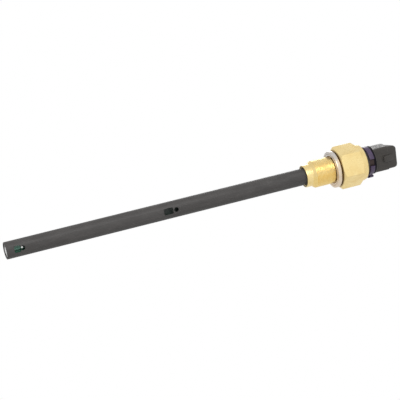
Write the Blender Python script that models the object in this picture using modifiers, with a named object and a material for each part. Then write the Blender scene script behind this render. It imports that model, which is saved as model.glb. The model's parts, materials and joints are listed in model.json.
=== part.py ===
"""Oil level sensor for an M20 port: brass screw-in body, dark probe tube with oil windows,
hot-wire carrier board inside, and a black two-way plug housing with a purple coding ring.

Metres, +Z up. The origin is the centre of the hexagon's sealing face. The probe hangs down -Z,
the plug points up +Z, and the oil windows face -Y. The plug is turned a little from the windows.
"""
import math

import bmesh
import bpy
from mathutils import Matrix, Vector

# fits
FIT = 0.0003                      # gap that touching pieces keep
RING_SLACK = 0.0008               # the crush ring hangs loose under the hexagon

# brass body
THREAD_D = 0.0200                 # M20, over the crests
NOSE_END = 0.0262                 # sealing face down to the end of the nose
NOSE_LENGTH = 0.0049
NOSE_WALL = 0.00175
NOSE_TAPER = 0.0024               # cone between nose and thread
RELIEF_DEPTH = 0.00115            # groove where the thread runs out
RELIEF_LENGTH = 0.0046
HEX_ACROSS_FLATS = 0.0280
HEX_HEIGHT = 0.0174
HEX_FACE_MARGIN = 0.0007          # from the flats in to where the end chamfers start
HEX_CLOCKING = math.radians(8.3)  # a flat is turned this far from the windows
COLLAR_HEIGHT = 0.0036            # from the hexagon to the crimped lip's end
COLLAR_WALL = 0.0029
CRIMP_WALL = 0.0020               # the collar thins to this at its top
LIP_THICKNESS = 0.0010
LIP_OVERLAP = 0.0008              # how far the lip is rolled over the housing
POCKET_D = 0.0220                 # seat of the plug housing
CHAMBER_FLOOR = 0.0015            # seat of the tube's seal
FLANGE_PLAY = 0.0004

# crush ring
CRUSH_WIDTH = 0.0034
CRUSH_THICKNESS = 0.0032
CRUSH_FOLD_DEPTH = 0.0005

# probe tube
TUBE_OD = 0.0123
TUBE_WALL = 0.0012
TUBE_REACH = 0.2520               # sealing face down to the tip
TUBE_FLANGE_T = 0.0016
TUBE_SEAL_CORD = 0.0016
TIP_WINDOW_START = 0.0055         # from the tip
TIP_WINDOW_LENGTH = 0.0046
TIP_WINDOW_WIDTH = 0.0047
MID_WINDOW_START = 0.1153
MID_WINDOW_LENGTH = 0.0069
MID_WINDOW_WIDTH = 0.0046
WINDOW_CORNER = 0.0008
VENT_D = 0.0034
VENT_BRIDGE = 0.0007              # wall left between the mid window and its vent hole
VENT_OVERLAP = 0.0003             # the tip's vent hole breaks this far into its window

# carrier board and sensing wire
BOARD_SIDE_PLAY = 0.0006          # board edge to tube bore
BOARD_T = 0.0010
BOARD_RISE = 0.0014               # past the pocket's floor
WIRE_SLOT_WIDTH = 0.0036
WIRE_SLOT_START = 0.0129          # from the tip
WIRE_SLOT_LENGTH = 0.0965
SENSE_WIRE_D = 0.0002
WIRE_JOINT_R = 0.0009
SPRING_T = 0.0002
SPRING_WIDTH = 0.0020
SPRING_FOOT = 0.0022
SPRING_REACH = 0.0026
SPRING_LIFT = 0.0007

# end pieces that hold the board
GUIDE_BOSS_D = 0.0052
GUIDE_LENGTH = 0.0034
GUIDE_FLOOR = 0.0018
GUIDE_RIB_T = 0.0012
GUIDE_SLOT_WALL = 0.0007
GUIDE_RECESS = 0.0003             # the guide lies this far inside the mouth
HOLDER_PLUG_LENGTH = 0.0090
HOLDER_FLANGE_T = 0.0018
CLAMP_T = 0.0011
CLAMP_WIDTH = 0.0016

# plug housing
SEAL_CORD = 0.0015
SEAL_GROOVE_RISE = 0.0022         # from the base's underside
NECK_RISE = 0.0023                # above the crimped lip
SEAT_STEP = 0.0011                # the coding ring's seat is this much smaller in radius
STOP_D = 0.0210                   # round flange that stops the coding ring
STOP_T = 0.0014
STOP_LIP_T = 0.0005               # the flange is undercut below this lip
STOP_GRIP = 0.0005                # what the undercut leaves to stop the ring
PLUG_CLOCKING = math.radians(10.5)  # the plug is turned this far from the windows
SHROUD_WIDTH = 0.0182
SHROUD_DEPTH = 0.0112
SHROUD_LENGTH = 0.0183            # from the top of the stop flange
SHROUD_CORNER = 0.0013
SHROUD_WALL = 0.0015
SHROUD_STEP = 0.0005              # the mouth's half is this much narrower on each side
STEP_RISE = 0.0114
MOUTH_CORNER = 0.0028
MOUTH_SLANT_DROP = 0.0027         # the other walls start this far below the latch wall
MOUTH_SLANT = math.radians(32)
SOCKET_FLOOR_RISE = 0.0025
LATCH_START_RISE = 0.0072
LATCH_LENGTH = 0.0090
LATCH_WIDTH = 0.0046
LATCH_HEIGHT = 0.0015
KEY_WIDTH = 0.0010
KEY_HEIGHT = 0.0008
KEY_PITCH = 0.0090
CAVITY_D = 0.0146                 # hollow under the contacts
CAVITY_DEPTH = 0.0064
TAB_REACH = 0.0025                # past the neck
TAB_WIDTH = 0.0050
TAB_T = 0.0011

# coding ring
CODE_RING_WALL = 0.0016
CODE_RING_HEIGHT = 0.0037
CODE_GAP = 0.0054                 # the ring is split here, so that it can be spread
CODE_GAP_SHIFT = 0.0010           # the split lies this far off the latch's centreline
CODE_LUG_REACH = 0.0019           # past the ring
CODE_EYE_D = 0.0014

# contacts and leads
BLADE_WIDTH = 0.0028
BLADE_T = 0.0008
BLADE_PITCH = 0.0050
BLADE_RECESS = 0.0095             # blade tip below the latch wall's end
TAIL_GAP = 0.0006                 # board top to blade tail
POTTING_T = 0.0022
LEAD_D = 0.0007
LEAD_BOW = 0.0008
LEAD_JOINT_R = 0.0006

ROUND_STEPS = 48
TUBE_STEPS = 40
SEAL_STEPS = 32

# the stack inside the body, from the chamber's floor up
TUBE_FLANGE_FLOOR = CHAMBER_FLOOR + FIT + TUBE_SEAL_CORD + FIT
HOLDER_FLANGE_FLOOR = TUBE_FLANGE_FLOOR + TUBE_FLANGE_T + FIT
CLAMP_FLOOR = HOLDER_FLANGE_FLOOR + HOLDER_FLANGE_T + FIT
POCKET_FLOOR = CLAMP_FLOOR + CLAMP_T
BASE_FLOOR = POCKET_FLOOR + FIT
COLLAR_TOP = HEX_HEIGHT + COLLAR_HEIGHT
BASE_TOP = COLLAR_TOP - LIP_THICKNESS - FIT
NECK_TOP = COLLAR_TOP + NECK_RISE
STOP_FLOOR = NECK_TOP + FIT + CODE_RING_HEIGHT + FIT
STOP_TOP = STOP_FLOOR + STOP_T
SHROUD_END = STOP_TOP + SHROUD_LENGTH
SOCKET_FLOOR = STOP_TOP + SOCKET_FLOOR_RISE
CAVITY_TOP = BASE_FLOOR + CAVITY_DEPTH
BOARD_TOP = POCKET_FLOOR + BOARD_RISE
BLADE_TAIL = BOARD_TOP + TAIL_GAP
BLADE_TOP = SHROUD_END - BLADE_RECESS

# places along the probe
TIP_Z = -TUBE_REACH
NOSE_Z = -NOSE_END
BOARD_FRONT = -BOARD_T / 2

# widths that follow their neighbours
TUBE_BORE = TUBE_OD - 2 * TUBE_WALL
BOARD_WIDTH = TUBE_BORE - 2 * BOARD_SIDE_PLAY
NOSE_D = TUBE_OD + 2 * FIT + 2 * NOSE_WALL
TUBE_FLANGE_D = TUBE_OD + 2 * FIT + 2 * TUBE_SEAL_CORD
CHAMBER_D = TUBE_FLANGE_D + 2 * FLANGE_PLAY
RELIEF_D = THREAD_D - 2 * RELIEF_DEPTH
CRUSH_OD = THREAD_D + 2 * FIT + 2 * CRUSH_WIDTH
HEX_CHAMFER_D = HEX_ACROSS_FLATS - 2 * HEX_FACE_MARGIN
COLLAR_BASE_D = POCKET_D + 2 * COLLAR_WALL
COLLAR_TOP_D = POCKET_D + 2 * CRIMP_WALL
LIP_BORE_D = POCKET_D - 2 * LIP_OVERLAP
NECK_D = LIP_BORE_D - 2 * FIT
SEAT_D = NECK_D - 2 * SEAT_STEP
CODE_RING_OD = SEAT_D + 2 * FIT + 2 * CODE_RING_WALL


def clear_scene():
    for item in list(bpy.data.objects):
        bpy.data.objects.remove(item, do_unlink=True)


def new_collection(name):
    group = bpy.data.collections.new(name)
    bpy.context.scene.collection.children.link(group)
    return group


def paint(name, colour, roughness, metallic=0.0):
    """Principled material from a display colour."""
    material = bpy.data.materials.new(name)
    material.use_nodes = True
    shader = material.node_tree.nodes["Principled BSDF"]
    linear = [c / 12.92 if c <= 0.04045 else ((c + 0.055) / 1.055) ** 2.4 for c in colour]
    shader.inputs["Base Color"].default_value = (*linear, 1.0)
    shader.inputs["Roughness"].default_value = roughness
    shader.inputs["Metallic"].default_value = metallic
    material.diffuse_color = (*linear, 1.0)
    return material


def place(name, mesh, group, material=None):
    item = bpy.data.objects.new(name, mesh)
    group.objects.link(item)
    if material:
        mesh.materials.clear()
        mesh.materials.append(material)
    return item


def baked(item):
    """Replace the object's data by its evaluated mesh, smooth with sharp corners."""
    bpy.context.view_layer.update()
    shape = item.evaluated_get(bpy.context.evaluated_depsgraph_get())
    mesh = bpy.data.meshes.new_from_object(shape)
    mesh.name = item.name
    item.modifiers.clear()
    item.data = mesh
    mesh.shade_smooth()
    mesh.set_sharp_from_angle(angle=math.radians(30))
    return item


def filleted(corners, segments=3):
    """Outline from (x, y, radius) corners; a fillet takes at most 0.45 of each wall beside it."""
    ring = corners[0][0] > 0
    outline = []
    for i, (x, y, radius) in enumerate(corners):
        here = Vector((x, y))
        inner = ring or 0 < i < len(corners) - 1
        if radius <= 0 or not inner:
            outline.append((x, y))
            continue
        before = Vector(corners[i - 1][:2]) - here
        after = Vector(corners[(i + 1) % len(corners)][:2]) - here
        half = before.angle(after) / 2
        run = min(radius / math.tan(half), 0.45 * before.length, 0.45 * after.length)
        centre = here + (before.normalized() + after.normalized()).normalized() * run / math.cos(half)
        first = here + before.normalized() * run - centre
        last = here + after.normalized() * run - centre
        turn = first.angle_signed(last)
        for step in range(segments + 1):
            a = -turn * step / segments
            point = centre + Matrix.Rotation(a, 2) @ first
            outline.append((point.x, point.y))
    return outline


def turned(name, corners, steps, group, material=None, segments=3):
    """Revolve an outline about Z: down the outer side, then back up any bore."""
    outline = filleted(corners, segments)
    count = len(outline)
    edges = [(i, i + 1) for i in range(count - 1)]
    if outline[0][0] > 0:
        edges.append((count - 1, 0))
    mesh = bpy.data.meshes.new(name)
    mesh.from_pydata([(r, 0, z) for r, z in outline], edges, [])
    item = place(name, mesh, group, material)
    screw = item.modifiers.new("Turn", "SCREW")
    screw.axis = "Z"
    screw.angle = math.tau
    screw.steps = steps
    screw.render_steps = steps
    screw.use_merge_vertices = True
    screw.merge_threshold = 0.000001
    return baked(item)


def block(name, low, high, group, material=None, corner=0.0, along="Z", segments=4):
    """Box from corner to corner, with the edges along one axis rounded."""
    mesh = bpy.data.meshes.new(name)
    shape = bmesh.new()
    bmesh.ops.create_cube(shape, size=1.0)
    size = Vector(high) - Vector(low)
    middle = (Vector(high) + Vector(low)) / 2
    stretch = Matrix.Translation(middle) @ Matrix.Diagonal((*size, 1.0))
    bmesh.ops.transform(shape, matrix=stretch, verts=shape.verts)
    if corner > 0:
        axis = "XYZ".index(along)
        edges = [e for e in shape.edges if abs((e.verts[0].co - e.verts[1].co)[axis]) > size[axis] / 2]
        bmesh.ops.bevel(shape, geom=edges, offset=corner, segments=segments, profile=0.5, affect="EDGES")
    shape.to_mesh(mesh)
    shape.free()
    return place(name, mesh, group, material)


def prism(name, outline, low, high, group):
    """Flat outline in the YZ plane, extruded along X from low to high."""
    curve = bpy.data.curves.new(name, "CURVE")
    curve.dimensions = "2D"
    curve.fill_mode = "BOTH"
    curve.extrude = (high - low) / 2
    line = curve.splines.new("POLY")
    line.points.add(len(outline) - 1)
    for point, (y, z) in zip(line.points, outline):
        point.co = (y, z, 0, 1)
    line.use_cyclic_u = True
    flat = bpy.data.objects.new(name + "_outline", curve)
    group.objects.link(flat)
    bpy.context.view_layer.update()
    shape = flat.evaluated_get(bpy.context.evaluated_depsgraph_get())
    mesh = bpy.data.meshes.new_from_object(shape)
    bpy.data.objects.remove(flat, do_unlink=True)
    turn = Matrix(((0, 0, 1, (low + high) / 2), (1, 0, 0, 0), (0, 1, 0, 0), (0, 0, 0, 1)))
    welded = bmesh.new()
    welded.from_mesh(mesh)
    bmesh.ops.remove_doubles(welded, verts=welded.verts, dist=0.000001)
    bmesh.ops.transform(welded, matrix=turn, verts=welded.verts)
    bmesh.ops.recalc_face_normals(welded, faces=welded.faces)
    welded.to_mesh(mesh)
    welded.free()
    return place(name, mesh, group)


def cylinder(name, radius, low, high, group, segments=32):
    """Cylinder between two points."""
    start, end = Vector(low), Vector(high)
    mesh = bpy.data.meshes.new(name)
    shape = bmesh.new()
    bmesh.ops.create_cone(shape, cap_ends=True, segments=segments, radius1=radius, radius2=radius,
                          depth=(end - start).length)
    turn = (end - start).to_track_quat("Z", "Y").to_matrix().to_4x4()
    bmesh.ops.transform(shape, matrix=Matrix.Translation((start + end) / 2) @ turn, verts=shape.verts)
    shape.to_mesh(mesh)
    shape.free()
    return place(name, mesh, group)


def combine(item, tool, operation):
    """Boolean with a hidden tool object."""
    tool.hide_render = True
    tool.display_type = "WIRE"
    step = item.modifiers.new(tool.name, "BOOLEAN")
    step.operation = operation
    step.object = tool
    step.solver = "EXACT"


def bead(name, radius, flat, centre, group, material):
    """Solder joint: a ball squeezed along Y."""
    mesh = bpy.data.meshes.new(name)
    shape = bmesh.new()
    bmesh.ops.create_uvsphere(shape, u_segments=12, v_segments=7, radius=radius)
    squeeze = Matrix.Translation(centre) @ Matrix.Diagonal((1, flat, 1, 1))
    bmesh.ops.transform(shape, matrix=squeeze, verts=shape.verts)
    shape.to_mesh(mesh)
    shape.free()
    mesh.shade_smooth()
    return place(name, mesh, group, material)


def wire(name, points, diameter, group, material):
    curve = bpy.data.curves.new(name, "CURVE")
    curve.dimensions = "3D"
    curve.bevel_depth = diameter / 2
    curve.bevel_resolution = 2
    curve.use_fill_caps = True
    line = curve.splines.new("POLY")
    line.points.add(len(points) - 1)
    for point, place_at in zip(line.points, points):
        point.co = (*place_at, 1)
    item = bpy.data.objects.new(name, curve)
    item.data.materials.append(material)
    group.objects.link(item)
    return item


def torus_corners(major, cord, height):
    """Round seal section as a ten-sided outline."""
    r = cord / 2
    angles = [math.tau * step / 10 for step in range(10)]
    return [(major - r * math.cos(a), height + r * math.sin(a), 0) for a in angles]


def brass_body(parts, tools, brass):
    """Turned blank, joined with a chamfered hexagon, then bored out."""
    thread_r = THREAD_D / 2
    nose_r = NOSE_D / 2
    relief_r = RELIEF_D / 2
    taper_start = NOSE_Z + NOSE_LENGTH
    runout = thread_r - relief_r
    body = turned("brass_body", [
        (0, COLLAR_TOP, 0),
        (COLLAR_TOP_D / 2, COLLAR_TOP, 0.0009),
        (COLLAR_BASE_D / 2, HEX_HEIGHT, 0),
        (COLLAR_BASE_D / 2, HEX_HEIGHT / 2, 0),
        (relief_r, HEX_HEIGHT / 2, 0),
        (relief_r, -RELIEF_LENGTH + runout, 0.0004),
        (thread_r, -RELIEF_LENGTH, 0),
        (thread_r, taper_start + NOSE_TAPER, 0),
        (nose_r, taper_start, 0.0003),
        (nose_r, NOSE_Z, 0.0005),
        (0, NOSE_Z, 0)], ROUND_STEPS, parts, brass)
    corner_r = HEX_ACROSS_FLATS / math.sqrt(3)
    chamfer_r = HEX_CHAMFER_D / 2
    chamfer = (corner_r - chamfer_r) * math.tan(math.radians(30))
    beyond = corner_r + 0.001
    extra = 0.001 * math.tan(math.radians(30))
    hexagon = cylinder("hexagon", corner_r, (0, 0, 0), (0, 0, HEX_HEIGHT), tools, 6)
    flat_turn = Matrix.Rotation(math.radians(30) - HEX_CLOCKING, 4, "Z")
    hexagon.data.transform(flat_turn)
    hexagon_form = turned("hexagon_form", [
        (0, HEX_HEIGHT, 0),
        (chamfer_r, HEX_HEIGHT, 0),
        (beyond, HEX_HEIGHT - chamfer - extra, 0),
        (beyond, chamfer + extra, 0),
        (chamfer_r, 0, 0),
        (0, 0, 0)], ROUND_STEPS, tools)
    combine(hexagon, hexagon_form, "INTERSECT")
    baked(hexagon)
    bore = turned("stepped_bore", [
        (0, COLLAR_TOP + 0.001, 0),
        (LIP_BORE_D / 2, COLLAR_TOP + 0.001, 0),
        (LIP_BORE_D / 2, COLLAR_TOP - LIP_THICKNESS, 0),
        (POCKET_D / 2, COLLAR_TOP - LIP_THICKNESS, 0),
        (POCKET_D / 2, POCKET_FLOOR, 0),
        (CHAMBER_D / 2, POCKET_FLOOR, 0),
        (CHAMBER_D / 2, CHAMBER_FLOOR, 0),
        (TUBE_OD / 2 + FIT, CHAMBER_FLOOR, 0),
        (TUBE_OD / 2 + FIT, NOSE_Z + 0.0006, 0),
        (TUBE_OD / 2 + FIT + 0.0016, NOSE_Z - 0.001, 0),
        (0, NOSE_Z - 0.001, 0)], ROUND_STEPS, tools)
    combine(body, hexagon, "UNION")
    combine(body, bore, "DIFFERENCE")
    return body


def sealing_ring(parts, steel):
    """Folded crush ring: rounded outside, with the seam of the fold on both faces."""
    top = -RING_SLACK
    bottom = top - CRUSH_THICKNESS
    inner = THREAD_D / 2 + FIT
    outer = CRUSH_OD / 2
    seam = inner + (outer - inner) * 0.42
    half = CRUSH_FOLD_DEPTH * 0.8
    return turned("sealing_ring", [
        (outer, top, 0.0011),
        (outer, bottom, 0.0011),
        (seam + half, bottom, 0),
        (seam, bottom + CRUSH_FOLD_DEPTH, 0),
        (seam - half, bottom, 0),
        (inner, bottom, 0),
        (inner, top, 0),
        (seam - half, top, 0),
        (seam, top - CRUSH_FOLD_DEPTH, 0),
        (seam + half, top, 0)], ROUND_STEPS, parts, steel)


def probe_tube(parts, tools, plastic):
    """Flanged tube with a window near the tip and one half way up, each with a vent hole above it."""
    outer = TUBE_OD / 2
    bore = TUBE_BORE / 2
    floor = TUBE_FLANGE_FLOOR
    top = floor + TUBE_FLANGE_T
    tube = turned("probe_tube", [
        (TUBE_FLANGE_D / 2, top, 0.0002),
        (TUBE_FLANGE_D / 2, floor, 0.0002),
        (outer, floor, 0),
        (outer, TIP_Z, 0.0004),
        (bore, TIP_Z, 0.0003),
        (bore, top, 0)], TUBE_STEPS, parts, plastic, 2)
    for place_name, start, length, width, bridge in (
            ("tip", TIP_WINDOW_START, TIP_WINDOW_LENGTH, TIP_WINDOW_WIDTH, -VENT_OVERLAP),
            ("mid", MID_WINDOW_START, MID_WINDOW_LENGTH, MID_WINDOW_WIDTH, VENT_BRIDGE)):
        low = (-width / 2, -outer - 0.001, TIP_Z + start)
        high = (width / 2, -bore / 3, TIP_Z + start + length)
        window = block(place_name + "_window", low, high, tools, None, WINDOW_CORNER, "Y")
        combine(tube, window, "DIFFERENCE")
        vent_z = high[2] + bridge + VENT_D / 2
        vent = cylinder(place_name + "_vent", VENT_D / 2, (0, low[1], vent_z), (0, high[1], vent_z), tools, 24)
        combine(tube, vent, "DIFFERENCE")
    return tube


def carrier_board(parts, tools, laminate):
    """Strip with a long slot that the sensing wire crosses; its foot stands in the tip guide."""
    foot = TIP_Z + GUIDE_RECESS + GUIDE_FLOOR + FIT
    low = (-BOARD_WIDTH / 2, -BOARD_T / 2, foot)
    high = (BOARD_WIDTH / 2, BOARD_T / 2, BOARD_TOP)
    board = block("carrier_board", low, high, parts, laminate, 0.0006, "Y", 2)
    start = TIP_Z + WIRE_SLOT_START
    slot = block("wire_slot", (-WIRE_SLOT_WIDTH / 2, -BOARD_T, start),
                 (WIRE_SLOT_WIDTH / 2, BOARD_T, start + WIRE_SLOT_LENGTH), tools, None,
                 WIRE_SLOT_WIDTH * 0.4, "Y", 5)
    combine(board, slot, "DIFFERENCE")
    return board


def sensing_wire(parts, metals):
    """Wire from the lower joint to a leaf spring above the slot, and both joints."""
    slot_start = TIP_Z + WIRE_SLOT_START
    slot_end = slot_start + WIRE_SLOT_LENGTH
    flat = 0.6
    joint_y = BOARD_FRONT - FIT - WIRE_JOINT_R * flat
    joint_z = slot_start - WIRE_JOINT_R - 0.0003
    bead("wire_joint_lower", WIRE_JOINT_R, flat, (0, joint_y, joint_z), parts, metals["solder"])
    face = BOARD_FRONT - FIT - SPRING_T / 2
    path = []
    for step in range(3):
        path.append((face, slot_end + 0.0006 + SPRING_FOOT * (1 - step / 2)))
    for step in range(1, 9):
        t = step / 8
        bend = SPRING_LIFT * (1 - math.cos(math.pi * t)) / 2
        path.append((face - bend, slot_end + 0.0006 - SPRING_REACH * t))
    mesh = bpy.data.meshes.new("wire_spring")
    half = SPRING_WIDTH / 2
    points = [(x, y, z) for y, z in path for x in (-half, half)]
    faces = [(2 * i, 2 * i + 1, 2 * i + 3, 2 * i + 2) for i in range(len(path) - 1)]
    mesh.from_pydata(points, [], faces)
    spring = place("wire_spring", mesh, parts, metals["spring"])
    thick = spring.modifiers.new("Thickness", "SOLIDIFY")
    thick.thickness = SPRING_T
    thick.offset = 0
    end_y, end_z = path[-1]
    upper_r = WIRE_JOINT_R * 0.7
    upper_y = end_y - SPRING_T / 2 - FIT - upper_r * flat
    upper_z = end_z + upper_r
    bead("wire_joint_upper", upper_r, flat, (0, upper_y, upper_z), parts, metals["solder"])
    low = Vector((0, joint_y, joint_z + WIRE_JOINT_R + FIT))
    high = Vector((0, upper_y, upper_z - upper_r - FIT))
    wire("hot_wire", [low, high], SENSE_WIRE_D, parts, metals["wire"])


def tip_guide(parts, tools, plastic):
    """Boss with four ribs in the tube's mouth; two ribs carry the slot for the board's foot."""
    low = TIP_Z + GUIDE_RECESS
    high = low + GUIDE_LENGTH
    reach = TUBE_BORE / 2 - FIT
    boss = turned("tip_guide", [
        (0, high, 0),
        (GUIDE_BOSS_D / 2, high, 0),
        (GUIDE_BOSS_D / 2, low, 0.0004),
        (0, low, 0)], SEAL_STEPS, parts, plastic, 2)
    envelope = turned("guide_envelope", [
        (0, high - 0.0002, 0),
        (reach, high - 0.0002, 0),
        (reach, low + 0.0003, 0),
        (0, low + 0.0003, 0)], SEAL_STEPS, tools)
    wide = BOARD_T / 2 + FIT + GUIDE_SLOT_WALL
    ribs = block("guide_ribs", (-reach - 0.001, -wide, low), (reach + 0.001, wide, high), tools)
    cross = block("guide_cross", (-GUIDE_RIB_T / 2, -reach - 0.001, low - 0.0001),
                  (GUIDE_RIB_T / 2, reach + 0.001, high + 0.0001), tools)
    combine(ribs, cross, "UNION")
    combine(ribs, envelope, "INTERSECT")
    baked(ribs)
    combine(boss, ribs, "UNION")
    slot = block("foot_slot", (-BOARD_WIDTH / 2 - FIT, -BOARD_T / 2 - FIT, low + GUIDE_FLOOR),
                 (BOARD_WIDTH / 2 + FIT, BOARD_T / 2 + FIT, high + 0.001), tools)
    combine(boss, slot, "DIFFERENCE")
    return boss


def board_holder(parts, tools, plastic):
    """Flanged plug in the top of the tube, slotted for the board."""
    floor = HOLDER_FLANGE_FLOOR
    top = floor + HOLDER_FLANGE_T
    plug_r = TUBE_BORE / 2 - FIT
    flange_r = CHAMBER_D / 2 - FIT
    holder = turned("board_holder", [
        (0, top, 0),
        (flange_r, top, 0),
        (flange_r, floor, 0),
        (plug_r, floor, 0),
        (plug_r, floor - HOLDER_PLUG_LENGTH, 0.0005),
        (0, floor - HOLDER_PLUG_LENGTH, 0)], TUBE_STEPS, parts, plastic, 2)
    half_w = BOARD_WIDTH / 2 + FIT
    half_t = BOARD_T / 2 + FIT
    slot = block("holder_slot", (-half_w, -half_t, floor - HOLDER_PLUG_LENGTH - 0.001),
                 (half_w, half_t, top + 0.001), tools)
    combine(holder, slot, "DIFFERENCE")
    return holder


def seals_and_clamp(parts, rubber, steel):
    major = TUBE_OD / 2 + FIT + TUBE_SEAL_CORD / 2
    height = CHAMBER_FLOOR + FIT + TUBE_SEAL_CORD / 2
    turned("tube_seal", torus_corners(major, TUBE_SEAL_CORD, height), SEAL_STEPS, parts, rubber)
    groove = POCKET_D / 2 - FIT - SEAL_CORD / 2
    height = BASE_FLOOR + SEAL_GROOVE_RISE + FIT + SEAL_CORD / 2
    turned("housing_seal", torus_corners(groove, SEAL_CORD, height), TUBE_STEPS, parts, rubber)
    outer = CHAMBER_D / 2 - FIT
    inner = outer - CLAMP_WIDTH
    turned("clamp_ring", [
        (outer, POCKET_FLOOR, 0),
        (outer, CLAMP_FLOOR, 0),
        (inner, CLAMP_FLOOR, 0),
        (inner, POCKET_FLOOR, 0)], TUBE_STEPS, parts, steel)


def connector_housing(parts, tools, plastic):
    """Moulded housing: sealed round base, ring seat, stop flange and keyed shroud with a slanted mouth."""
    base_r = POCKET_D / 2 - FIT
    groove_low = BASE_FLOOR + SEAL_GROOVE_RISE
    groove_top = groove_low + SEAL_CORD + 2 * FIT
    groove_r = base_r - SEAL_CORD - FIT
    neck_r = NECK_D / 2
    seat_r = SEAT_D / 2
    undercut_r = seat_r + FIT + STOP_GRIP
    housing = turned("connector_housing", [
        (0, STOP_TOP, 0),
        (STOP_D / 2, STOP_TOP, 0.0002),
        (STOP_D / 2, STOP_TOP - STOP_LIP_T, 0.0001),
        (undercut_r, STOP_TOP - STOP_LIP_T, 0),
        (undercut_r, STOP_FLOOR, 0),
        (seat_r, STOP_FLOOR, 0),
        (seat_r, NECK_TOP, 0),
        (neck_r, NECK_TOP, 0.0002),
        (neck_r, BASE_TOP, 0),
        (base_r, BASE_TOP, 0),
        (base_r, groove_top, 0),
        (groove_r, groove_top, 0),
        (groove_r, groove_low, 0),
        (base_r, groove_low, 0),
        (base_r, BASE_FLOOR, 0.0004),
        (0, BASE_FLOOR, 0)], ROUND_STEPS, parts, plastic, 2)

    half_w = SHROUD_WIDTH / 2
    half_d = SHROUD_DEPTH / 2
    mouth_w = half_w - SHROUD_STEP
    mouth_d = half_d - SHROUD_STEP / 2
    step = STOP_TOP + STEP_RISE
    lower = block("shroud_lower", (-half_w, -half_d, STOP_TOP - STOP_T / 2), (half_w, half_d, step),
                  tools, None, SHROUD_CORNER)
    upper = block("shroud_upper", (-mouth_w, -mouth_d, step - SHROUD_WALL), (mouth_w, mouth_d, SHROUD_END),
                  tools, None, SHROUD_CORNER)
    plan = block("shroud_plan", (-mouth_w - 0.0001, -mouth_d - 0.002, step - SHROUD_WALL - MOUTH_CORNER),
                 (mouth_w + 0.0001, mouth_d + 0.002, SHROUD_END), tools, None, MOUTH_CORNER, "Y", 5)
    combine(upper, plan, "INTERSECT")
    baked(upper)
    latch_start = STOP_TOP + LATCH_START_RISE
    latch_end = latch_start + LATCH_LENGTH
    root = -mouth_d + SHROUD_WALL / 2
    wedge = prism("latch_wedge", [
        (root, latch_start),
        (-half_d - LATCH_HEIGHT, latch_start + LATCH_HEIGHT / 5),
        (-half_d - LATCH_HEIGHT, latch_start + LATCH_LENGTH * 0.3),
        (-mouth_d, latch_end),
        (root, latch_end)], -LATCH_WIDTH / 2, LATCH_WIDTH / 2, tools)
    tab = block("side_tab", (seat_r - SEAT_STEP, -TAB_WIDTH / 2, NECK_TOP - TAB_T),
                (neck_r + TAB_REACH, TAB_WIDTH / 2, NECK_TOP), tools, None, TAB_WIDTH * 0.16)
    for piece in (lower, upper, wedge, tab):
        combine(housing, piece, "UNION")
    wall = SHROUD_WALL
    socket = block("socket", (-mouth_w + wall, -mouth_d + wall, SOCKET_FLOOR),
                   (mouth_w - wall, mouth_d - wall, SHROUD_END + 0.001), tools)
    cavity = cylinder("cavity", CAVITY_D / 2, (0, 0, BASE_FLOOR - 0.001), (0, 0, CAVITY_TOP), tools, 48)
    combine(housing, socket, "DIFFERENCE")
    combine(housing, cavity, "DIFFERENCE")
    for side in (-1, 1):
        slot = blade_slot("blade_slot_%d" % (1 + (side > 0)), side, CAVITY_TOP - 0.001,
                          SOCKET_FLOOR + 0.001, tools)
        combine(housing, slot, "DIFFERENCE")
        key_x = side * KEY_PITCH / 2
        key_low = (key_x - KEY_WIDTH / 2, mouth_d - wall - KEY_HEIGHT, SOCKET_FLOOR - wall / 3)
        key_high = (key_x + KEY_WIDTH / 2, mouth_d - wall / 2, SHROUD_END - wall)
        key = block("key_%d" % (1 + (side > 0)), key_low, key_high, tools)
        combine(housing, key, "UNION")
    fall = math.tan(MOUTH_SLANT)
    front = -mouth_d + wall
    back = half_d + 0.001
    slant_top = SHROUD_END - MOUTH_SLANT_DROP
    slant = prism("mouth_slant", [
        (front, SHROUD_END + 0.002),
        (front, slant_top),
        (back, slant_top - (back - front) * fall),
        (back, SHROUD_END + 0.002)], -half_w - 0.001, half_w + 0.001, tools)
    combine(housing, slant, "DIFFERENCE")
    return housing


def blade_slot(name, side, low, high, tools):
    x = side * BLADE_PITCH / 2
    return block(name, (x - BLADE_WIDTH / 2 - FIT, -BLADE_T / 2 - FIT, low),
                 (x + BLADE_WIDTH / 2 + FIT, BLADE_T / 2 + FIT, high), tools)


def coding_ring(parts, tools, plastic):
    """Ring split on the latch side, with an eyed lug over the tab."""
    low = NECK_TOP + FIT
    high = low + CODE_RING_HEIGHT
    inner = SEAT_D / 2 + FIT
    outer = CODE_RING_OD / 2
    ring = turned("coding_ring", [
        (outer, high, 0.0004),
        (outer, low, 0.0004),
        (inner, low, 0),
        (inner, high, 0)], ROUND_STEPS, parts, plastic)
    lug = block("ring_lug", ((inner + outer) / 2, -TAB_WIDTH / 2, low),
                (outer + CODE_LUG_REACH, TAB_WIDTH / 2, high), tools, None, 0.0007, "Y")
    eye_x = outer + CODE_LUG_REACH * 0.42
    eye = cylinder("ring_eye", CODE_EYE_D / 2, (eye_x, -TAB_WIDTH, (low + high) / 2 - 0.0004),
                   (eye_x, TAB_WIDTH, (low + high) / 2 - 0.0004), tools, 20)
    gap = block("ring_gap", (-CODE_GAP / 2 - CODE_GAP_SHIFT, -outer - 0.001, low - 0.001),
                (CODE_GAP / 2 - CODE_GAP_SHIFT, -inner / 2, high + 0.001), tools)
    combine(ring, lug, "UNION")
    combine(ring, eye, "DIFFERENCE")
    combine(ring, gap, "DIFFERENCE")
    return ring


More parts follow.
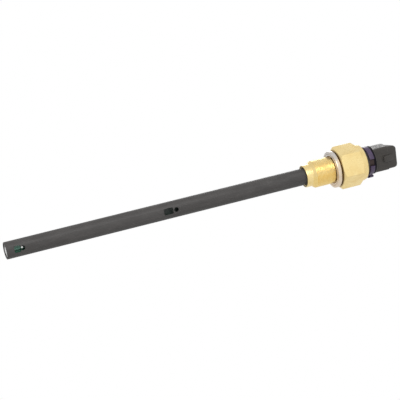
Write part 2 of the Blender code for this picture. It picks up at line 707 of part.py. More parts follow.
def contacts(parts, tools, materials):
    """Blades with bevelled tips, potting round their tails, leads and soldered joints."""
    potting_top = CAVITY_TOP - FIT
    potting = turned("terminal_potting", [
        (0, potting_top, 0),
        (CAVITY_D / 2 - FIT, potting_top, 0),
        (CAVITY_D / 2 - FIT, potting_top - POTTING_T, 0.0003),
        (0, potting_top - POTTING_T, 0)], TUBE_STEPS, parts, materials["potting"], 2)
    turned_pieces = [potting]
    flat = 0.6
    plug_turn = Matrix.Rotation(PLUG_CLOCKING, 3, "Z")
    for number, side in ((1, -1), (2, 1)):
        x = side * BLADE_PITCH / 2
        blade = block("terminal_blade_%d" % number, (x - BLADE_WIDTH / 2, -BLADE_T / 2, BLADE_TAIL),
                      (x + BLADE_WIDTH / 2, BLADE_T / 2, BLADE_TOP), parts, materials["tin"])
        shape = bmesh.new()
        shape.from_mesh(blade.data)
        point = [e for e in shape.edges if min(v.co.z for v in e.verts) > BLADE_TOP - 0.0001
                 and abs(e.verts[0].co.x - e.verts[1].co.x) > BLADE_T]
        bmesh.ops.bevel(shape, geom=point, offset=BLADE_T * 0.3, segments=2, profile=0.5, affect="EDGES")
        shape.to_mesh(blade.data)
        shape.free()
        slot = blade_slot("potting_slot_%d" % number, side, potting_top - POTTING_T - 0.001,
                          potting_top + 0.001, tools)
        combine(potting, slot, "DIFFERENCE")
        tail_y = -BLADE_T / 2 - FIT - LEAD_JOINT_R * flat
        tail_z = BLADE_TAIL + LEAD_JOINT_R
        pad_y = BOARD_FRONT - FIT - LEAD_JOINT_R * flat
        pad_z = BOARD_TOP - 3 * LEAD_JOINT_R
        tail = bead("tail_joint_%d" % number, LEAD_JOINT_R, flat, (x, tail_y, tail_z), parts,
                    materials["solder"])
        turned_pieces += [blade, slot, tail]
        bead("board_joint_%d" % number, LEAD_JOINT_R, flat, (x, pad_y, pad_z), parts, materials["solder"])
        clear = LEAD_JOINT_R * flat + FIT + LEAD_D / 2
        start = plug_turn @ Vector((x, tail_y - clear, tail_z + LEAD_JOINT_R / 2))
        end = Vector((x, pad_y - clear, pad_z - LEAD_JOINT_R / 2))
        route = []
        for step in range(9):
            t = step / 8
            bow = Vector((0, -LEAD_BOW * math.sin(math.pi * t), 0))
            route.append(start.lerp(end, t) + bow)
        wire("lead_%d" % number, route, LEAD_D, parts, materials["lead"])
    return turned_pieces


def turn_plug(parts, plug_pieces):
    """Hang the plug's pieces and their cutters on an empty that carries the plug's clocking."""
    axis = place("plug_axis", None, parts)
    axis.rotation_euler.z = PLUG_CLOCKING
    for piece in plug_pieces:
        piece.parent = axis
        for step in piece.modifiers:
            if step.type == "BOOLEAN":
                step.object.parent = axis


def build():
    clear_scene()
    parts = new_collection("oil_level_sensor")
    tools = new_collection("cutters")
    brass = paint("brass", (0.90, 0.76, 0.45), 0.28, 1.0)
    steel = paint("plated_steel", (0.80, 0.76, 0.75), 0.35, 1.0)
    dark = paint("dark_plastic", (0.29, 0.28, 0.28), 0.5)
    black = paint("black_plastic", (0.20, 0.19, 0.18), 0.42)
    purple = paint("purple_plastic", (0.36, 0.28, 0.50), 0.45)
    laminate = paint("green_laminate", (0.15, 0.36, 0.27), 0.4)
    natural = paint("natural_plastic", (0.84, 0.82, 0.76), 0.5)
    rubber = paint("seal_rubber", (0.07, 0.07, 0.07), 0.6)
    metals = {
        "solder": paint("solder", (0.82, 0.83, 0.84), 0.25, 1.0),
        "spring": paint("spring_steel", (0.70, 0.70, 0.70), 0.3, 1.0),
        "wire": paint("resistance_wire", (0.62, 0.60, 0.58), 0.3, 1.0),
        "tin": paint("tinned_copper", (0.80, 0.79, 0.76), 0.3, 1.0),
        "lead": paint("lead_insulation", (0.62, 0.12, 0.10), 0.5),
        "potting": paint("potting_resin", (0.10, 0.10, 0.11), 0.3),
    }
    brass_body(parts, tools, brass)
    sealing_ring(parts, steel)
    probe_tube(parts, tools, dark)
    carrier_board(parts, tools, laminate)
    sensing_wire(parts, metals)
    tip_guide(parts, tools, natural)
    board_holder(parts, tools, natural)
    seals_and_clamp(parts, rubber, metals["spring"])
    housing = connector_housing(parts, tools, black)
    ring = coding_ring(parts, tools, purple)
    turn_plug(parts, [housing, ring] + contacts(parts, tools, metals))


build()
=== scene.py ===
"""Looks of a screw-in oil level sensor: dark probe tube with oil windows, brass body with a
loose crush ring, and a black two-way plug housing with a purple coding ring.

Metres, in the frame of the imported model: the hexagon's sealing face is at z = 0, the probe
hangs down -Z, the plug points up +Z, and the oil windows face -Y. The plug is turned from them.
"""
import json
import math

import bmesh
import bpy
from mathutils import Matrix, Vector

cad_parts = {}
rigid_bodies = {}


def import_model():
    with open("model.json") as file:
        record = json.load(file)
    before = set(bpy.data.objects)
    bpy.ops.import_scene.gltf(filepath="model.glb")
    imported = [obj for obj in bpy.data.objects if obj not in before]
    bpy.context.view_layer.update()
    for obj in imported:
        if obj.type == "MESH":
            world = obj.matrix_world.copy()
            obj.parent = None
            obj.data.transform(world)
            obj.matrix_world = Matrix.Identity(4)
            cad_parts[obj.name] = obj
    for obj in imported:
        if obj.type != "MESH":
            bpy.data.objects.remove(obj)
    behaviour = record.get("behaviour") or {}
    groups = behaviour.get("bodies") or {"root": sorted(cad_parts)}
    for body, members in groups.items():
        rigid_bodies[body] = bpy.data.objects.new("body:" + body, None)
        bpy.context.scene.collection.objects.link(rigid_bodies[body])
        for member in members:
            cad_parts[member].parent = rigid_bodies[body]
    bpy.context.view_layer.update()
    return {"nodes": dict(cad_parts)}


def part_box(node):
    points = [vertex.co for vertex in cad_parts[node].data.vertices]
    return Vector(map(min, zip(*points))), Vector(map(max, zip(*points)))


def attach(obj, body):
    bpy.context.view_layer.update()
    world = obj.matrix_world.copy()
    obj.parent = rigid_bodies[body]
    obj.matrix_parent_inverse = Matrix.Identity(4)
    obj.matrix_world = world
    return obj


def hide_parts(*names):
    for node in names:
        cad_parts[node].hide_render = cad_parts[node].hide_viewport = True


bl_info = {
    "name": "Oil level sensor",
    "version": (1, 0, 0),
    "blender": (4, 5, 0),
    "location": "3D View > Sidebar > Oil level sensor",
    "description": "Builds the finished pieces of a screw-in oil level sensor and its stage",
    "category": "Object",
}

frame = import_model()
nose_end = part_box("brass_body")[0].z
tube_tip, tube_top = (corner.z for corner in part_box("probe_tube"))
ring_low, ring_top = (corner.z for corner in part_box("sealing_ring"))
board_low, board_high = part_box("carrier_board")
housing_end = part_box("connector_housing")[1].z
code_low, code_top = (corner.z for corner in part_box("coding_ring"))

# Lengths in metres. Levels count from the hexagon's sealing face, but THREAD_START counts from the
# nose's end. The body has BODY_COLUMNS points in a turn and the thread THREAD_ROWS in a pitch.
MM = 0.001
SAME_POINT = 0.0001 * MM
PLUG_TURN = Matrix.Rotation(math.radians(10.5), 4, "Z")
CREST_R = 10.0 * MM
NOSE_R = 8.2 * MM
THREAD_START = 7.3 * MM
THREAD_LEAD = 2.4 * MM
THREAD_END = -4.6 * MM
THREAD_ROWS = 8
BODY_COLUMNS = 240
HALF_FLATS = 14.0 * MM
HEX_TOP = 17.4 * MM
BEARING_R = 13.3 * MM
TUBE_R = 6.15 * MM
BORE_R = 4.95 * MM
GUIDE_R = 4.65 * MM
SHROUD_STEP = 40.4 * MM
SHROUD_HALF_X = 9.1 * MM
SHROUD_HALF_Y = 5.6 * MM
SHROUD_CORNER = 1.3 * MM
SOCKET_HALF_X = 7.1 * MM
SOCKET_HALF_Y = 3.85 * MM
LUG_HALF = 2.5 * MM
PICTURE_PIXELS = 400.0
SENSOR_MM = 36.0


def length(name, note, millimetres):
    return bpy.props.FloatProperty(name=name, description=note, default=millimetres * MM, min=0.0, max=1.0,
                                   unit="LENGTH", precision=5)


def tint(name, note, value):
    return bpy.props.FloatVectorProperty(name=name, description=note, default=value, min=0.0,
                                         max=1.0, size=3, subtype="COLOR")


def share(name, note, value):
    return bpy.props.FloatProperty(name=name, description=note, default=value, min=0.0, max=1.0,
                                   subtype="FACTOR")


def bearing(name, note, degrees):
    return bpy.props.FloatProperty(name=name, description=note, default=math.radians(degrees),
                                   subtype="ANGLE")


def power(name, value):
    return bpy.props.FloatProperty(name=name, description="Power in watts", default=value, min=0.0,
                                   unit="POWER")


class SensorSizes(bpy.types.PropertyGroup):
    """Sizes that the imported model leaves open."""
    thread_pitch: length("Thread pitch", "Pitch of the screw-in thread", 1.0)
    thread_depth: length("Thread depth", "Crest to root of the screw-in thread", 0.30)
    hex_edge: length("Hexagon edge", "Rounding of the hexagon's upright edges", 0.30)
    edge: length("Broken edge", "Rounding of turned and moulded edges", 0.18)
    window_edge: length("Window edge", "Rounding of the oil windows' rims", 0.18)
    wave: length("Ring waviness", "How far the crush ring's faces wander", 0.03)
    track_rise: length("Track height", "How far the strip's tracks stand proud", 0.05)


class SensorColours(bpy.types.PropertyGroup):
    """Colours of the finishes."""
    brass: tint("Brass", "Machined brass", (0.94, 0.75, 0.36))
    brass_dull: tint("Dull brass", "Brass in the tool marks and hollows", (0.82, 0.60, 0.24))
    steel: tint("Plated steel", "Crush ring", (0.80, 0.67, 0.52))
    tube: tint("Tube plastic", "Filled dark plastic of the probe tube", (0.070, 0.066, 0.064))
    black: tint("Housing plastic", "Moulded black plastic of the plug", (0.036, 0.031, 0.026))
    purple: tint("Coding purple", "Coding ring", (0.070, 0.046, 0.100))
    laminate: tint("Laminate", "Solder mask of the strip", (0.016, 0.090, 0.052))
    track: tint("Covered track", "Solder mask over copper", (0.055, 0.210, 0.135))
    natural: tint("Natural plastic", "Undyed plastic of the guide", (0.92, 0.93, 0.93))
    rubber: tint("Rubber", "Seals", (0.016, 0.016, 0.017))
    tin: tint("Tin", "Solder and tinned copper", (0.78, 0.78, 0.77))
    lead: tint("Lead", "Insulation of the leads", (0.33, 0.02, 0.015))


class SensorStage(bpy.types.PropertyGroup):
    """Camera and light."""
    lens: bpy.props.FloatProperty(name="Focal length", description="In millimetres, on a 36 mm sensor",
                                  default=135.0, min=1.0, subtype="DISTANCE_CAMERA")
    tilt: bearing("Tilt", "How far the probe leans away from the picture", 16.5)
    slope: bearing("Slope", "Rise of the probe across the picture", 13.97)
    turn: bearing("Turn", "How far the windows turn below the viewer", 8.5)
    main_light: power("Main light", 4.2)
    rim_light: power("Rim light", 2.4)
    sky: share("Sky", "Strength of the surroundings on matt surfaces", 0.55)
    shine: share("Shine", "Strength of the surroundings in reflections, away from the viewer", 0.88)


# mesh helpers

def profile(*rows):
    """Corners (r, z, fillet) in metres from rows of radius, level, rise above that level and fillet; the
    level is in metres too and the rest in millimetres."""
    return [(r * MM, level + rise * MM, fillet * MM) for r, level, rise, fillet in rows]


def filleted(corners, closed=True, segments=4):
    """Outline from (x, y, radius) corners; a fillet takes at most 0.45 of each wall beside it."""
    outline = []
    count = len(corners)
    for i, (x, y, radius) in enumerate(corners):
        inner = closed or 0 < i < count - 1
        if radius <= 0 or not inner:
            outline.append((x, y))
            continue
        here = Vector((x, y))
        before = Vector(corners[i - 1][:2]) - here
        after = Vector(corners[(i + 1) % count][:2]) - here
        half = before.angle(after) / 2
        run = min(radius / math.tan(half), 0.45 * before.length, 0.45 * after.length)
        centre = here + (before.normalized() + after.normalized()).normalized() * run / math.cos(half)
        first = here + before.normalized() * run - centre
        turn = first.angle_signed(here + after.normalized() * run - centre)
        for step in range(segments + 1):
            point = centre + Matrix.Rotation(-turn * step / segments, 2) @ first
            outline.append((point.x, point.y))
    return outline


def skinned(rings, closed=False):
    """Quads between rings of equal count; open stacks get a cap at both ends."""
    shape = bmesh.new()
    rows = [[shape.verts.new(point) for point in ring] for ring in rings]
    pairs = list(zip(rows, rows[1:]))
    if closed:
        pairs.append((rows[-1], rows[0]))
    count = len(rows[0])
    for low, high in pairs:
        for i in range(count):
            j = (i + 1) % count
            shape.faces.new((low[i], low[j], high[j], high[i]))
    if not closed:
        shape.faces.new(rows[0])
        shape.faces.new(rows[-1])
    return shape


def revolved(corners, columns, closed=True, segments=4, wave=None):
    """Turn an (r, z, radius) outline about Z."""
    angles = [math.tau * i / columns for i in range(columns)]
    rings = []
    for r, z in filleted(corners, closed, segments):
        rings.append([(r * math.cos(a), r * math.sin(a), z + (wave(a) if wave else 0.0)) for a in angles])
    return skinned(rings, closed)


def slab(low, high, corner=0.0, along="Y", edge=0.0, segments=5):
    """Box with the edges along one axis rounded by corner, and all others broken by edge."""
    shape = bmesh.new()
    bmesh.ops.create_cube(shape, size=1.0)
    size = Vector(high) - Vector(low)
    move = Matrix.Translation((Vector(low) + Vector(high)) / 2) @ Matrix.Diagonal((*size, 1.0))
    bmesh.ops.transform(shape, matrix=move, verts=shape.verts)
    axis = "XYZ".index(along)
    if corner > 0:
        edges = [e for e in shape.edges if abs((e.verts[0].co - e.verts[1].co)[axis]) > size[axis] / 2]
        bmesh.ops.bevel(shape, geom=edges, offset=corner, segments=segments, profile=0.5, affect="EDGES")
    if edge > 0:
        break_edges(shape, edge)
    return shape


def break_edges(shape, width, degrees=32.0, segments=2, where=None):
    """Round the edges that turn by more than an angle."""
    welded(shape)
    limit = math.radians(degrees)
    edges = [e for e in shape.edges if len(e.link_faces) == 2 and e.calc_face_angle(0.0) > limit]
    if where:
        edges = [e for e in edges if where((e.verts[0].co + e.verts[1].co) / 2)]
    bmesh.ops.bevel(shape, geom=edges, offset=width, segments=segments, profile=0.5, affect="EDGES",
                    clamp_overlap=True)


def rod(radius, start, end, columns):
    """Round bar between two points."""
    start, end = Vector(start), Vector(end)
    shape = bmesh.new()
    bmesh.ops.create_cone(shape, cap_ends=True, segments=columns, radius1=radius, radius2=radius,
                          depth=(end - start).length)
    turn = (end - start).to_track_quat("Z", "Y").to_matrix().to_4x4()
    bmesh.ops.transform(shape, matrix=Matrix.Translation((start + end) / 2) @ turn, verts=shape.verts)
    return shape


def extruded(outline, half):
    """Flat (y, z) outline carried along X, half to each side."""
    return skinned([[(x, y, z) for y, z in outline] for x in (-half, half)])


def rounded_loop(half_x, half_y, corner):
    """Rounded rectangle from +X on, with the same count of points on each quarter at any size."""
    side, bend, long_side = 6, 12, 20
    quarter = [(half_x, (half_y - corner) * i / side) for i in range(side)]
    for i in range(bend):
        a = math.tau / 4 * i / bend
        quarter.append((half_x - corner + corner * math.cos(a), half_y - corner + corner * math.sin(a)))
    quarter += [((half_x - corner) * (1 - i / long_side), half_y) for i in range(long_side)]
    rest = quarter[1:]
    back = rest[::-1]
    return (quarter + [(0.0, half_y)] + [(-x, y) for x, y in back] + [(-half_x, 0.0)]
            + [(-x, -y) for x, y in rest] + [(0.0, -half_y)] + [(x, -y) for x, y in back])


def plain_mesh(name, shape):
    """Turn a shape into a mesh and let go of the shape."""
    mesh = bpy.data.meshes.new(name)
    shape.to_mesh(mesh)
    shape.free()
    return mesh


def placed(name, data):
    """New object in the scene."""
    item = bpy.data.objects.new(name, data)
    bpy.context.scene.collection.objects.link(item)
    return item


def evaluated_shape(item):
    """The object with its modifiers applied, as a shape."""
    bpy.context.view_layer.update()
    mesh = bpy.data.meshes.new_from_object(item.evaluated_get(bpy.context.evaluated_depsgraph_get()))
    shape = bmesh.new()
    shape.from_mesh(mesh)
    bpy.data.meshes.remove(mesh)
    return shape


def welded(shape):
    """Merge doubles and turn the faces outwards."""
    bmesh.ops.remove_doubles(shape, verts=shape.verts, dist=SAME_POINT)
    bmesh.ops.recalc_face_normals(shape, faces=shape.faces)
    return shape


def carved(shape, *steps):
    """Boolean of a shape with (operation, tool shape) steps, as a new shape."""
    item = placed("blank", plain_mesh("blank", welded(shape)))
    helpers = [item]
    for operation, tool in steps:
        helper = placed("tool", plain_mesh("tool", welded(tool)))
        helpers.append(helper)
        step = item.modifiers.new("step", "BOOLEAN")
        step.operation = operation
        step.object = helper
        step.solver = "EXACT"
    result = evaluated_shape(item)
    for helper in helpers:
        mesh = helper.data
        bpy.data.objects.remove(helper, do_unlink=True)
        bpy.data.meshes.remove(mesh)
    return result


def joined(*shapes):
    """Several closed shapes in one."""
    whole = bmesh.new()
    for shape in shapes:
        mesh = plain_mesh("part", welded(shape))
        whole.from_mesh(mesh)
        bpy.data.meshes.remove(mesh)
    return whole


def turned_with_plug(shape):
    bmesh.ops.transform(shape, matrix=PLUG_TURN, verts=shape.verts)
    return shape


def finished(name, shape, finish, slot, *nodes, sharp=34.0, merge=True):
    """Make a shape a piece of the object, standing for its CAD nodes."""
    if merge:
        bmesh.ops.remove_doubles(shape, verts=shape.verts, dist=SAME_POINT)
        bmesh.ops.dissolve_degenerate(shape, edges=shape.edges, dist=SAME_POINT / 10)
        bmesh.ops.recalc_face_normals(shape, faces=shape.faces)
    mesh = plain_mesh(name, shape)
    if not mesh.polygons:
        raise RuntimeError(name + " came out empty")
    mesh.materials.append(finishes()[finish])
    mesh.shade_smooth()
    mesh.set_sharp_from_angle(angle=math.radians(sharp))
    piece = placed(name, mesh)
    if nodes:
        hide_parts(*nodes)
    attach(piece, "root")


def dressed(node, finish):
    """Give a CAD node that keeps its mesh a finish."""
    item = frame["nodes"][node]
    item.data.materials.clear()
    item.data.materials.append(finishes()[finish])


# node helpers

class Nodes:
    """Adds and links the nodes of one tree."""

    def __init__(self, tree):
        self.tree = tree

    def add(self, kind, links=None, **settings):
        item = self.tree.nodes.new(kind)
        for key, value in settings.items():
            setattr(item, key, value)
        for key, value in (links or {}).items():
            self.feed(item.inputs[key], value)
        return item

    def feed(self, socket, value):
        if isinstance(value, bpy.types.NodeSocket):
            self.tree.links.new(value, socket)
        else:
            socket.default_value = value

    def math(self, operation, first, second=0.0):
        return self.add("ShaderNodeMath", {0: first, 1: second}, operation=operation).outputs[0]

    def plus(self, first, second):
        return self.math("ADD", first, second)

    def minus(self, first, second):
        return self.math("SUBTRACT", first, second)

    def times(self, first, second):
        return self.math("MULTIPLY", first, second)

    def spread(self, value, low, high, to_low=0.0, to_high=1.0):
        """Smooth run of one range onto another."""
        item = self.add("ShaderNodeMapRange", {
            "Value": value, "From Min": low, "From Max": high, "To Min": to_low, "To Max": to_high},
            interpolation_type="SMOOTHSTEP")
        return item.outputs["Result"]

    def mixed(self, share_of_second, first, second):
        return self.add("ShaderNodeMix", {"Factor": share_of_second, 2: first, 3: second}).outputs[0]


class Finish(Nodes):
    """The nodes of one material; ramp, band and bumps take their lengths in millimetres."""

    def __init__(self, name, colour, roughness, metallic=0.0, specular=0.5):
        self.material = bpy.data.materials.new(name)
        self.material.use_nodes = True
        super().__init__(self.material.node_tree)
        self.surface = self.tree.nodes["Principled BSDF"]
        self.set("Base Color", (*colour, 1.0))
        self.set("Roughness", roughness)
        self.set("Metallic", metallic)
        self.set("Specular IOR Level", specular)
        self.place = self.add("ShaderNodeTexCoord").outputs["Object"]

    def set(self, label, value):
        self.feed(self.surface.inputs[label], value)

    def axes(self):
        return self.add("ShaderNodeSeparateXYZ", {0: self.place}).outputs[:3]

    def radius(self):
        x, y, z = self.axes()
        return self.math("SQRT", self.plus(self.times(x, x), self.times(y, y)))

    def stretched(self, *scale):
        return self.add("ShaderNodeMapping", {"Vector": self.place, "Scale": scale}).outputs[0]

    def grain(self, vector, scale, detail=3.0):
        return self.add("ShaderNodeTexNoise", {
            "Vector": vector, "Scale": scale, "Detail": detail, "Roughness": 0.6}).outputs["Fac"]

    def line_grain(self, value, scale):
        links = {"W": value, "Scale": scale, "Detail": 2.0}
        return self.add("ShaderNodeTexNoise", links, noise_dimensions="1D").outputs["Fac"]

    def ramp(self, value, low, high, most=1.0):
        return self.spread(value, low * MM, high * MM, 0.0, most)

    def band(self, value, low, high, low_run, high_run):
        """Between two places, with the length of the soft run inside each end."""
        return self.times(self.ramp(value, low, low + low_run), self.ramp(value, high, high - high_run))

    def blend(self, share_of_second, first, second):
        item = self.add("ShaderNodeMix", {"Factor": share_of_second}, data_type="RGBA")
        for socket, value in ((item.inputs[6], first), (item.inputs[7], second)):
            self.feed(socket, value if isinstance(value, bpy.types.NodeSocket) else (*value, 1.0))
        return item.outputs[2]

    def bumps(self, height, depth):
        item = self.add("ShaderNodeBump", {"Strength": 1.0, "Distance": depth * MM, "Height": height})
        self.set("Normal", item.outputs[0])


def darker(colour, share_left):
    return tuple(c * share_left for c in colour)


def machined_brass(colours):
    """Turned rings on the round parts, drawn lines on the hexagon's flats, painted shade in the corners and
    on the nose's end face, and a painted reflection on the shank.
    """
    # Painted reflection and shade tones: on the shank's lower front, beside the crush ring, under the hexagon
    # and on the nose's end face.
    shank_reflection, ring_side_shade = (0.92, 0.68, 0.25), (0.22, 0.13, 0.05)
    hexagon_gap_shade, oil = (0.26, 0.17, 0.07), (0.10, 0.075, 0.028)
    f = Finish("machined_brass", colours.brass, 0.32, 1.0)
    x, y, z = f.axes()
    r = f.radius()
    rings = f.line_grain(f.plus(z, r), 5200.0)
    lines = f.grain(f.stretched(2600.0, 2600.0, 90.0), 1.0, detail=2.0)
    marks = f.mixed(f.times(f.ramp(r, 13.85, 14.0), f.ramp(z, 0.0, 0.4)), rings, lines)
    cloud = f.grain(f.place, 160.0, detail=4.0)
    tone = f.blend(f.spread(cloud, 0.35, 0.75, 0.0, 0.55), colours.brass, colours.brass_dull)
    tone = f.blend(f.spread(marks, 0.55, 0.85, 0.0, 0.40), tone, darker(colours.brass_dull, 0.8))
    # Painted reflection: a darker, yellower tone on the shank's lower front.
    on_shank = f.times(f.band(z, -22.2, -4.0, 1.0, 0.6), f.ramp(x, -1.0, 2.0, 0.8))
    tone = f.blend(f.times(on_shank, f.ramp(y, 4.0, 0.0)), tone, shank_reflection)
    # Painted shade on the shank beside the crush ring, on its sides along X.
    beside_ring = f.times(f.ramp(z, -7.8, -5.6), f.ramp(z, 0.0, -0.4))
    tone = f.blend(f.times(beside_ring, f.ramp(f.math("ABSOLUTE", x), 7.8, 9.2, 0.75)), tone, ring_side_shade)
    # Painted shade under the hexagon, between it and the crush ring.
    under_hexagon = f.times(f.ramp(z, 0.7, 0.1), f.ramp(z, -1.2, -0.8))
    tone = f.blend(f.times(under_hexagon, f.ramp(r, 11.2, 12.2, 0.85)), tone, hexagon_gap_shade)
    # The oil tone is painted shade, with a painted reflection of the dark tube, on the nose's end face.
    tone = f.blend(f.times(f.ramp(z, -25.9, -26.1), f.ramp(r, 8.0, 7.6)), tone, oil)
    f.set("Base Color", tone)
    f.set("Roughness", f.spread(f.plus(marks, f.times(cloud, 0.6)), 0.5, 1.1, 0.24, 0.44))
    f.bumps(marks, 0.012)


def plated_steel(colours):
    """Turned rings, with a painted greyer reflection on the upper side."""
    upper_reflection_grey = (0.66, 0.63, 0.60)
    f = Finish("crush_steel", colours.steel, 0.34, 1.0)
    rings = f.line_grain(f.plus(f.radius(), f.times(f.axes()[2], 0.6)), 4200.0)
    cloud = f.grain(f.place, 300.0)
    # Painted reflection: greyer on the -X side.
    base = f.blend(f.ramp(f.axes()[0], -5.0, -11.0), colours.steel, upper_reflection_grey)
    tone = f.blend(f.spread(cloud, 0.4, 0.75, 0.0, 0.35), base, darker(colours.steel, 0.72))
    f.set("Base Color", f.blend(f.spread(rings, 0.55, 0.8, 0.0, 0.5), tone, darker(colours.steel, 0.6)))
    f.set("Roughness", f.spread(rings, 0.3, 0.8, 0.26, 0.46))
    f.bumps(rings, 0.01)


def filled_plastic(name, colour, roughness, specular, grain_scale=5200.0, depth=0.02, mottle=0.16):
    """Moulded plastic with a fine grain, faint flow marks and a little mottling."""
    f = Finish(name, colour, roughness, 0.0, specular)
    fine = f.grain(f.place, grain_scale)
    cloud = f.grain(f.stretched(220.0, 220.0, 60.0), 1.0, detail=4.0)
    tone = f.blend(f.spread(cloud, 0.3, 0.7), darker(colour, 1.0 - mottle), darker(colour, 1.0 + mottle))
    f.set("Base Color", f.blend(f.spread(fine, 0.5, 0.9, 0.0, 0.35), tone, darker(colour, 1.5)))
    worn = f.plus(fine, f.times(cloud, 0.5))
    f.set("Roughness", f.spread(worn, 0.5, 1.1, roughness - 0.06, roughness + 0.08))
    f.bumps(fine, depth)
    return f


def housing_plastic(colours):
    """Black plastic with painted shade, darker and dull, in the groove above the coding ring and in the
    ring's gap.
    """
    ring_gap_shade, groove_shade = (0.040, 0.022, 0.020), (0.014, 0.012, 0.018)
    f = filled_plastic("housing_plastic", colours.black, 0.46, 0.5, 4200.0, depth=0.0015)
    f.set("Sheen Weight", 0.30)
    f.set("Sheen Roughness", 0.45)
    z = f.axes()[2]
    base = f.surface.inputs["Base Color"].links[0].from_socket
    # Painted shade: a brown tone on the neck where the ring's gap shows it, and black in the groove, where
    # dark metal also hides the reflection.
    neck = f.band(z, 23.2, 27.5, 0.2, 0.2)
    groove = f.band(z, 27.3, 28.7, 0.2, 0.2)
    f.set("Base Color", f.blend(groove, f.blend(neck, base, ring_gap_shade), groove_shade))
    f.set("Metallic", f.math("MAXIMUM", groove, f.times(neck, 0.35)))


def green_laminate(colours):
    """Solder mask over two tracks beside the slot, dark but for a lit half near the tip."""
    shaded, lit, ground = (0.034, 0.050, 0.042), (0.24, 0.56, 0.42), (0.16, 0.20, 0.09)
    f = Finish("green_laminate", colours.laminate, 0.36)
    x, y, z = f.axes()
    track = f.band(f.math("ABSOLUTE", x), 2.05, 3.65, 0.1, 0.1)
    on_face = f.ramp(f.math("ABSOLUTE", y), 0.47, 0.49)
    weave = f.grain(f.stretched(2400.0, 2400.0, 2400.0), 1.0, detail=2.0)
    near_tip = f.ramp(z, -200.0, -230.0)
    face = f.blend(near_tip, shaded, f.blend(track, colours.laminate, colours.track))
    face = f.blend(f.times(near_tip, f.ramp(x, 1.3, 0.7)), face, lit)
    face = f.blend(f.spread(weave, 0.45, 0.8, 0.0, 0.35), face, darker(colours.laminate, 0.7))
    f.set("Base Color", f.blend(on_face, ground, face))
    f.set("Roughness", f.spread(weave, 0.3, 0.8, 0.28, 0.5))
    f.bumps(f.plus(track, f.times(weave, 0.3)), 0.03)


def bright_metal(name, colour, low, high, scale=1800.0):
    """Bare metal with a fine grain in its colour and gloss."""
    f = Finish(name, colour, low, 1.0)
    fine = f.grain(f.place, scale)
    f.set("Base Color", f.blend(f.spread(fine, 0.4, 0.8, 0.0, 0.6), colour, darker(colour, 0.7)))
    f.set("Roughness", f.spread(fine, 0.3, 0.7, low, high))
    f.bumps(fine, 0.01)


def finishes():
    """All the materials by name, made once."""
    if "machined_brass" not in bpy.data.materials:
        c = bpy.context.scene.sensor_colours
        machined_brass(c)
        plated_steel(c)
        filled_plastic("filled_tube", c.tube, 0.55, 0.35)
        housing_plastic(c)
        filled_plastic("moulded_purple", c.purple, 0.42, 0.5, 3600.0)
        filled_plastic("undyed_plastic", c.natural, 0.5, 0.5, 3000.0, depth=0.01, mottle=0.05)
        filled_plastic("black_rubber", c.rubber, 0.6, 0.4, 2600.0, depth=0.01)
        filled_plastic("red_insulation", c.lead, 0.45, 0.5, 2600.0, depth=0.01)
        filled_plastic("potting_resin", (0.02, 0.02, 0.022), 0.25, 0.5, 900.0, depth=0.03)
        green_laminate(c)
        bright_metal("bright_solder", c.tin, 0.08, 0.16)
        bright_metal("tinned_copper", darker(c.tin, 0.92), 0.22, 0.40, 2600.0)
        bright_metal("wire_alloy", (0.50, 0.48, 0.45), 0.25, 0.42)
        bright_metal("spring_metal", (0.56, 0.56, 0.56), 0.22, 0.38)
    return bpy.data.materials


# node-built pieces

class Tree(Nodes):
    """The nodes of one geometry tree with named sizes."""

    def __init__(self, name, **sizes):
        super().__init__(bpy.data.node_groups.new(name, "GeometryNodeTree"))
        self.ids = {}
        for label, kind in sizes.items():
            label = label.replace("_", " ").capitalize()
            socket = self.tree.interface.new_socket(label, in_out="INPUT", socket_type="NodeSocket" + kind)
            self.ids[label] = socket.identifier
        self.tree.interface.new_socket("Geometry", in_out="OUTPUT", socket_type="NodeSocketGeometry")
        self.inputs = self.tree.nodes.new("NodeGroupInput").outputs
        self.output = self.tree.nodes.new("NodeGroupOutput").inputs

    def least(self, first, second):
        return self.math("MINIMUM", first, second)

    def end(self, geometry):
        real = self.add("GeometryNodeRealizeInstances", {"Geometry": geometry})
        painted = self.add("GeometryNodeSetMaterial", {
            "Geometry": real.outputs[0], "Material": self.inputs["Material"]})
        self.feed(self.output["Geometry"], painted.outputs[0])

    def shape(self, data, values):
        """Run the tree on a mesh or curve with named values and return its result as a plain shape."""
        item = placed("run", data)
        step = item.modifiers.new("build", "NODES")
        step.node_group = self.tree
        for label, value in values.items():
            step[self.ids[label]] = value
        result = evaluated_shape(item)
        bpy.data.objects.remove(item, do_unlink=True)
        if isinstance(data, bpy.types.Mesh):
            bpy.data.meshes.remove(data)
        else:
            bpy.data.curves.remove(data)
        return result


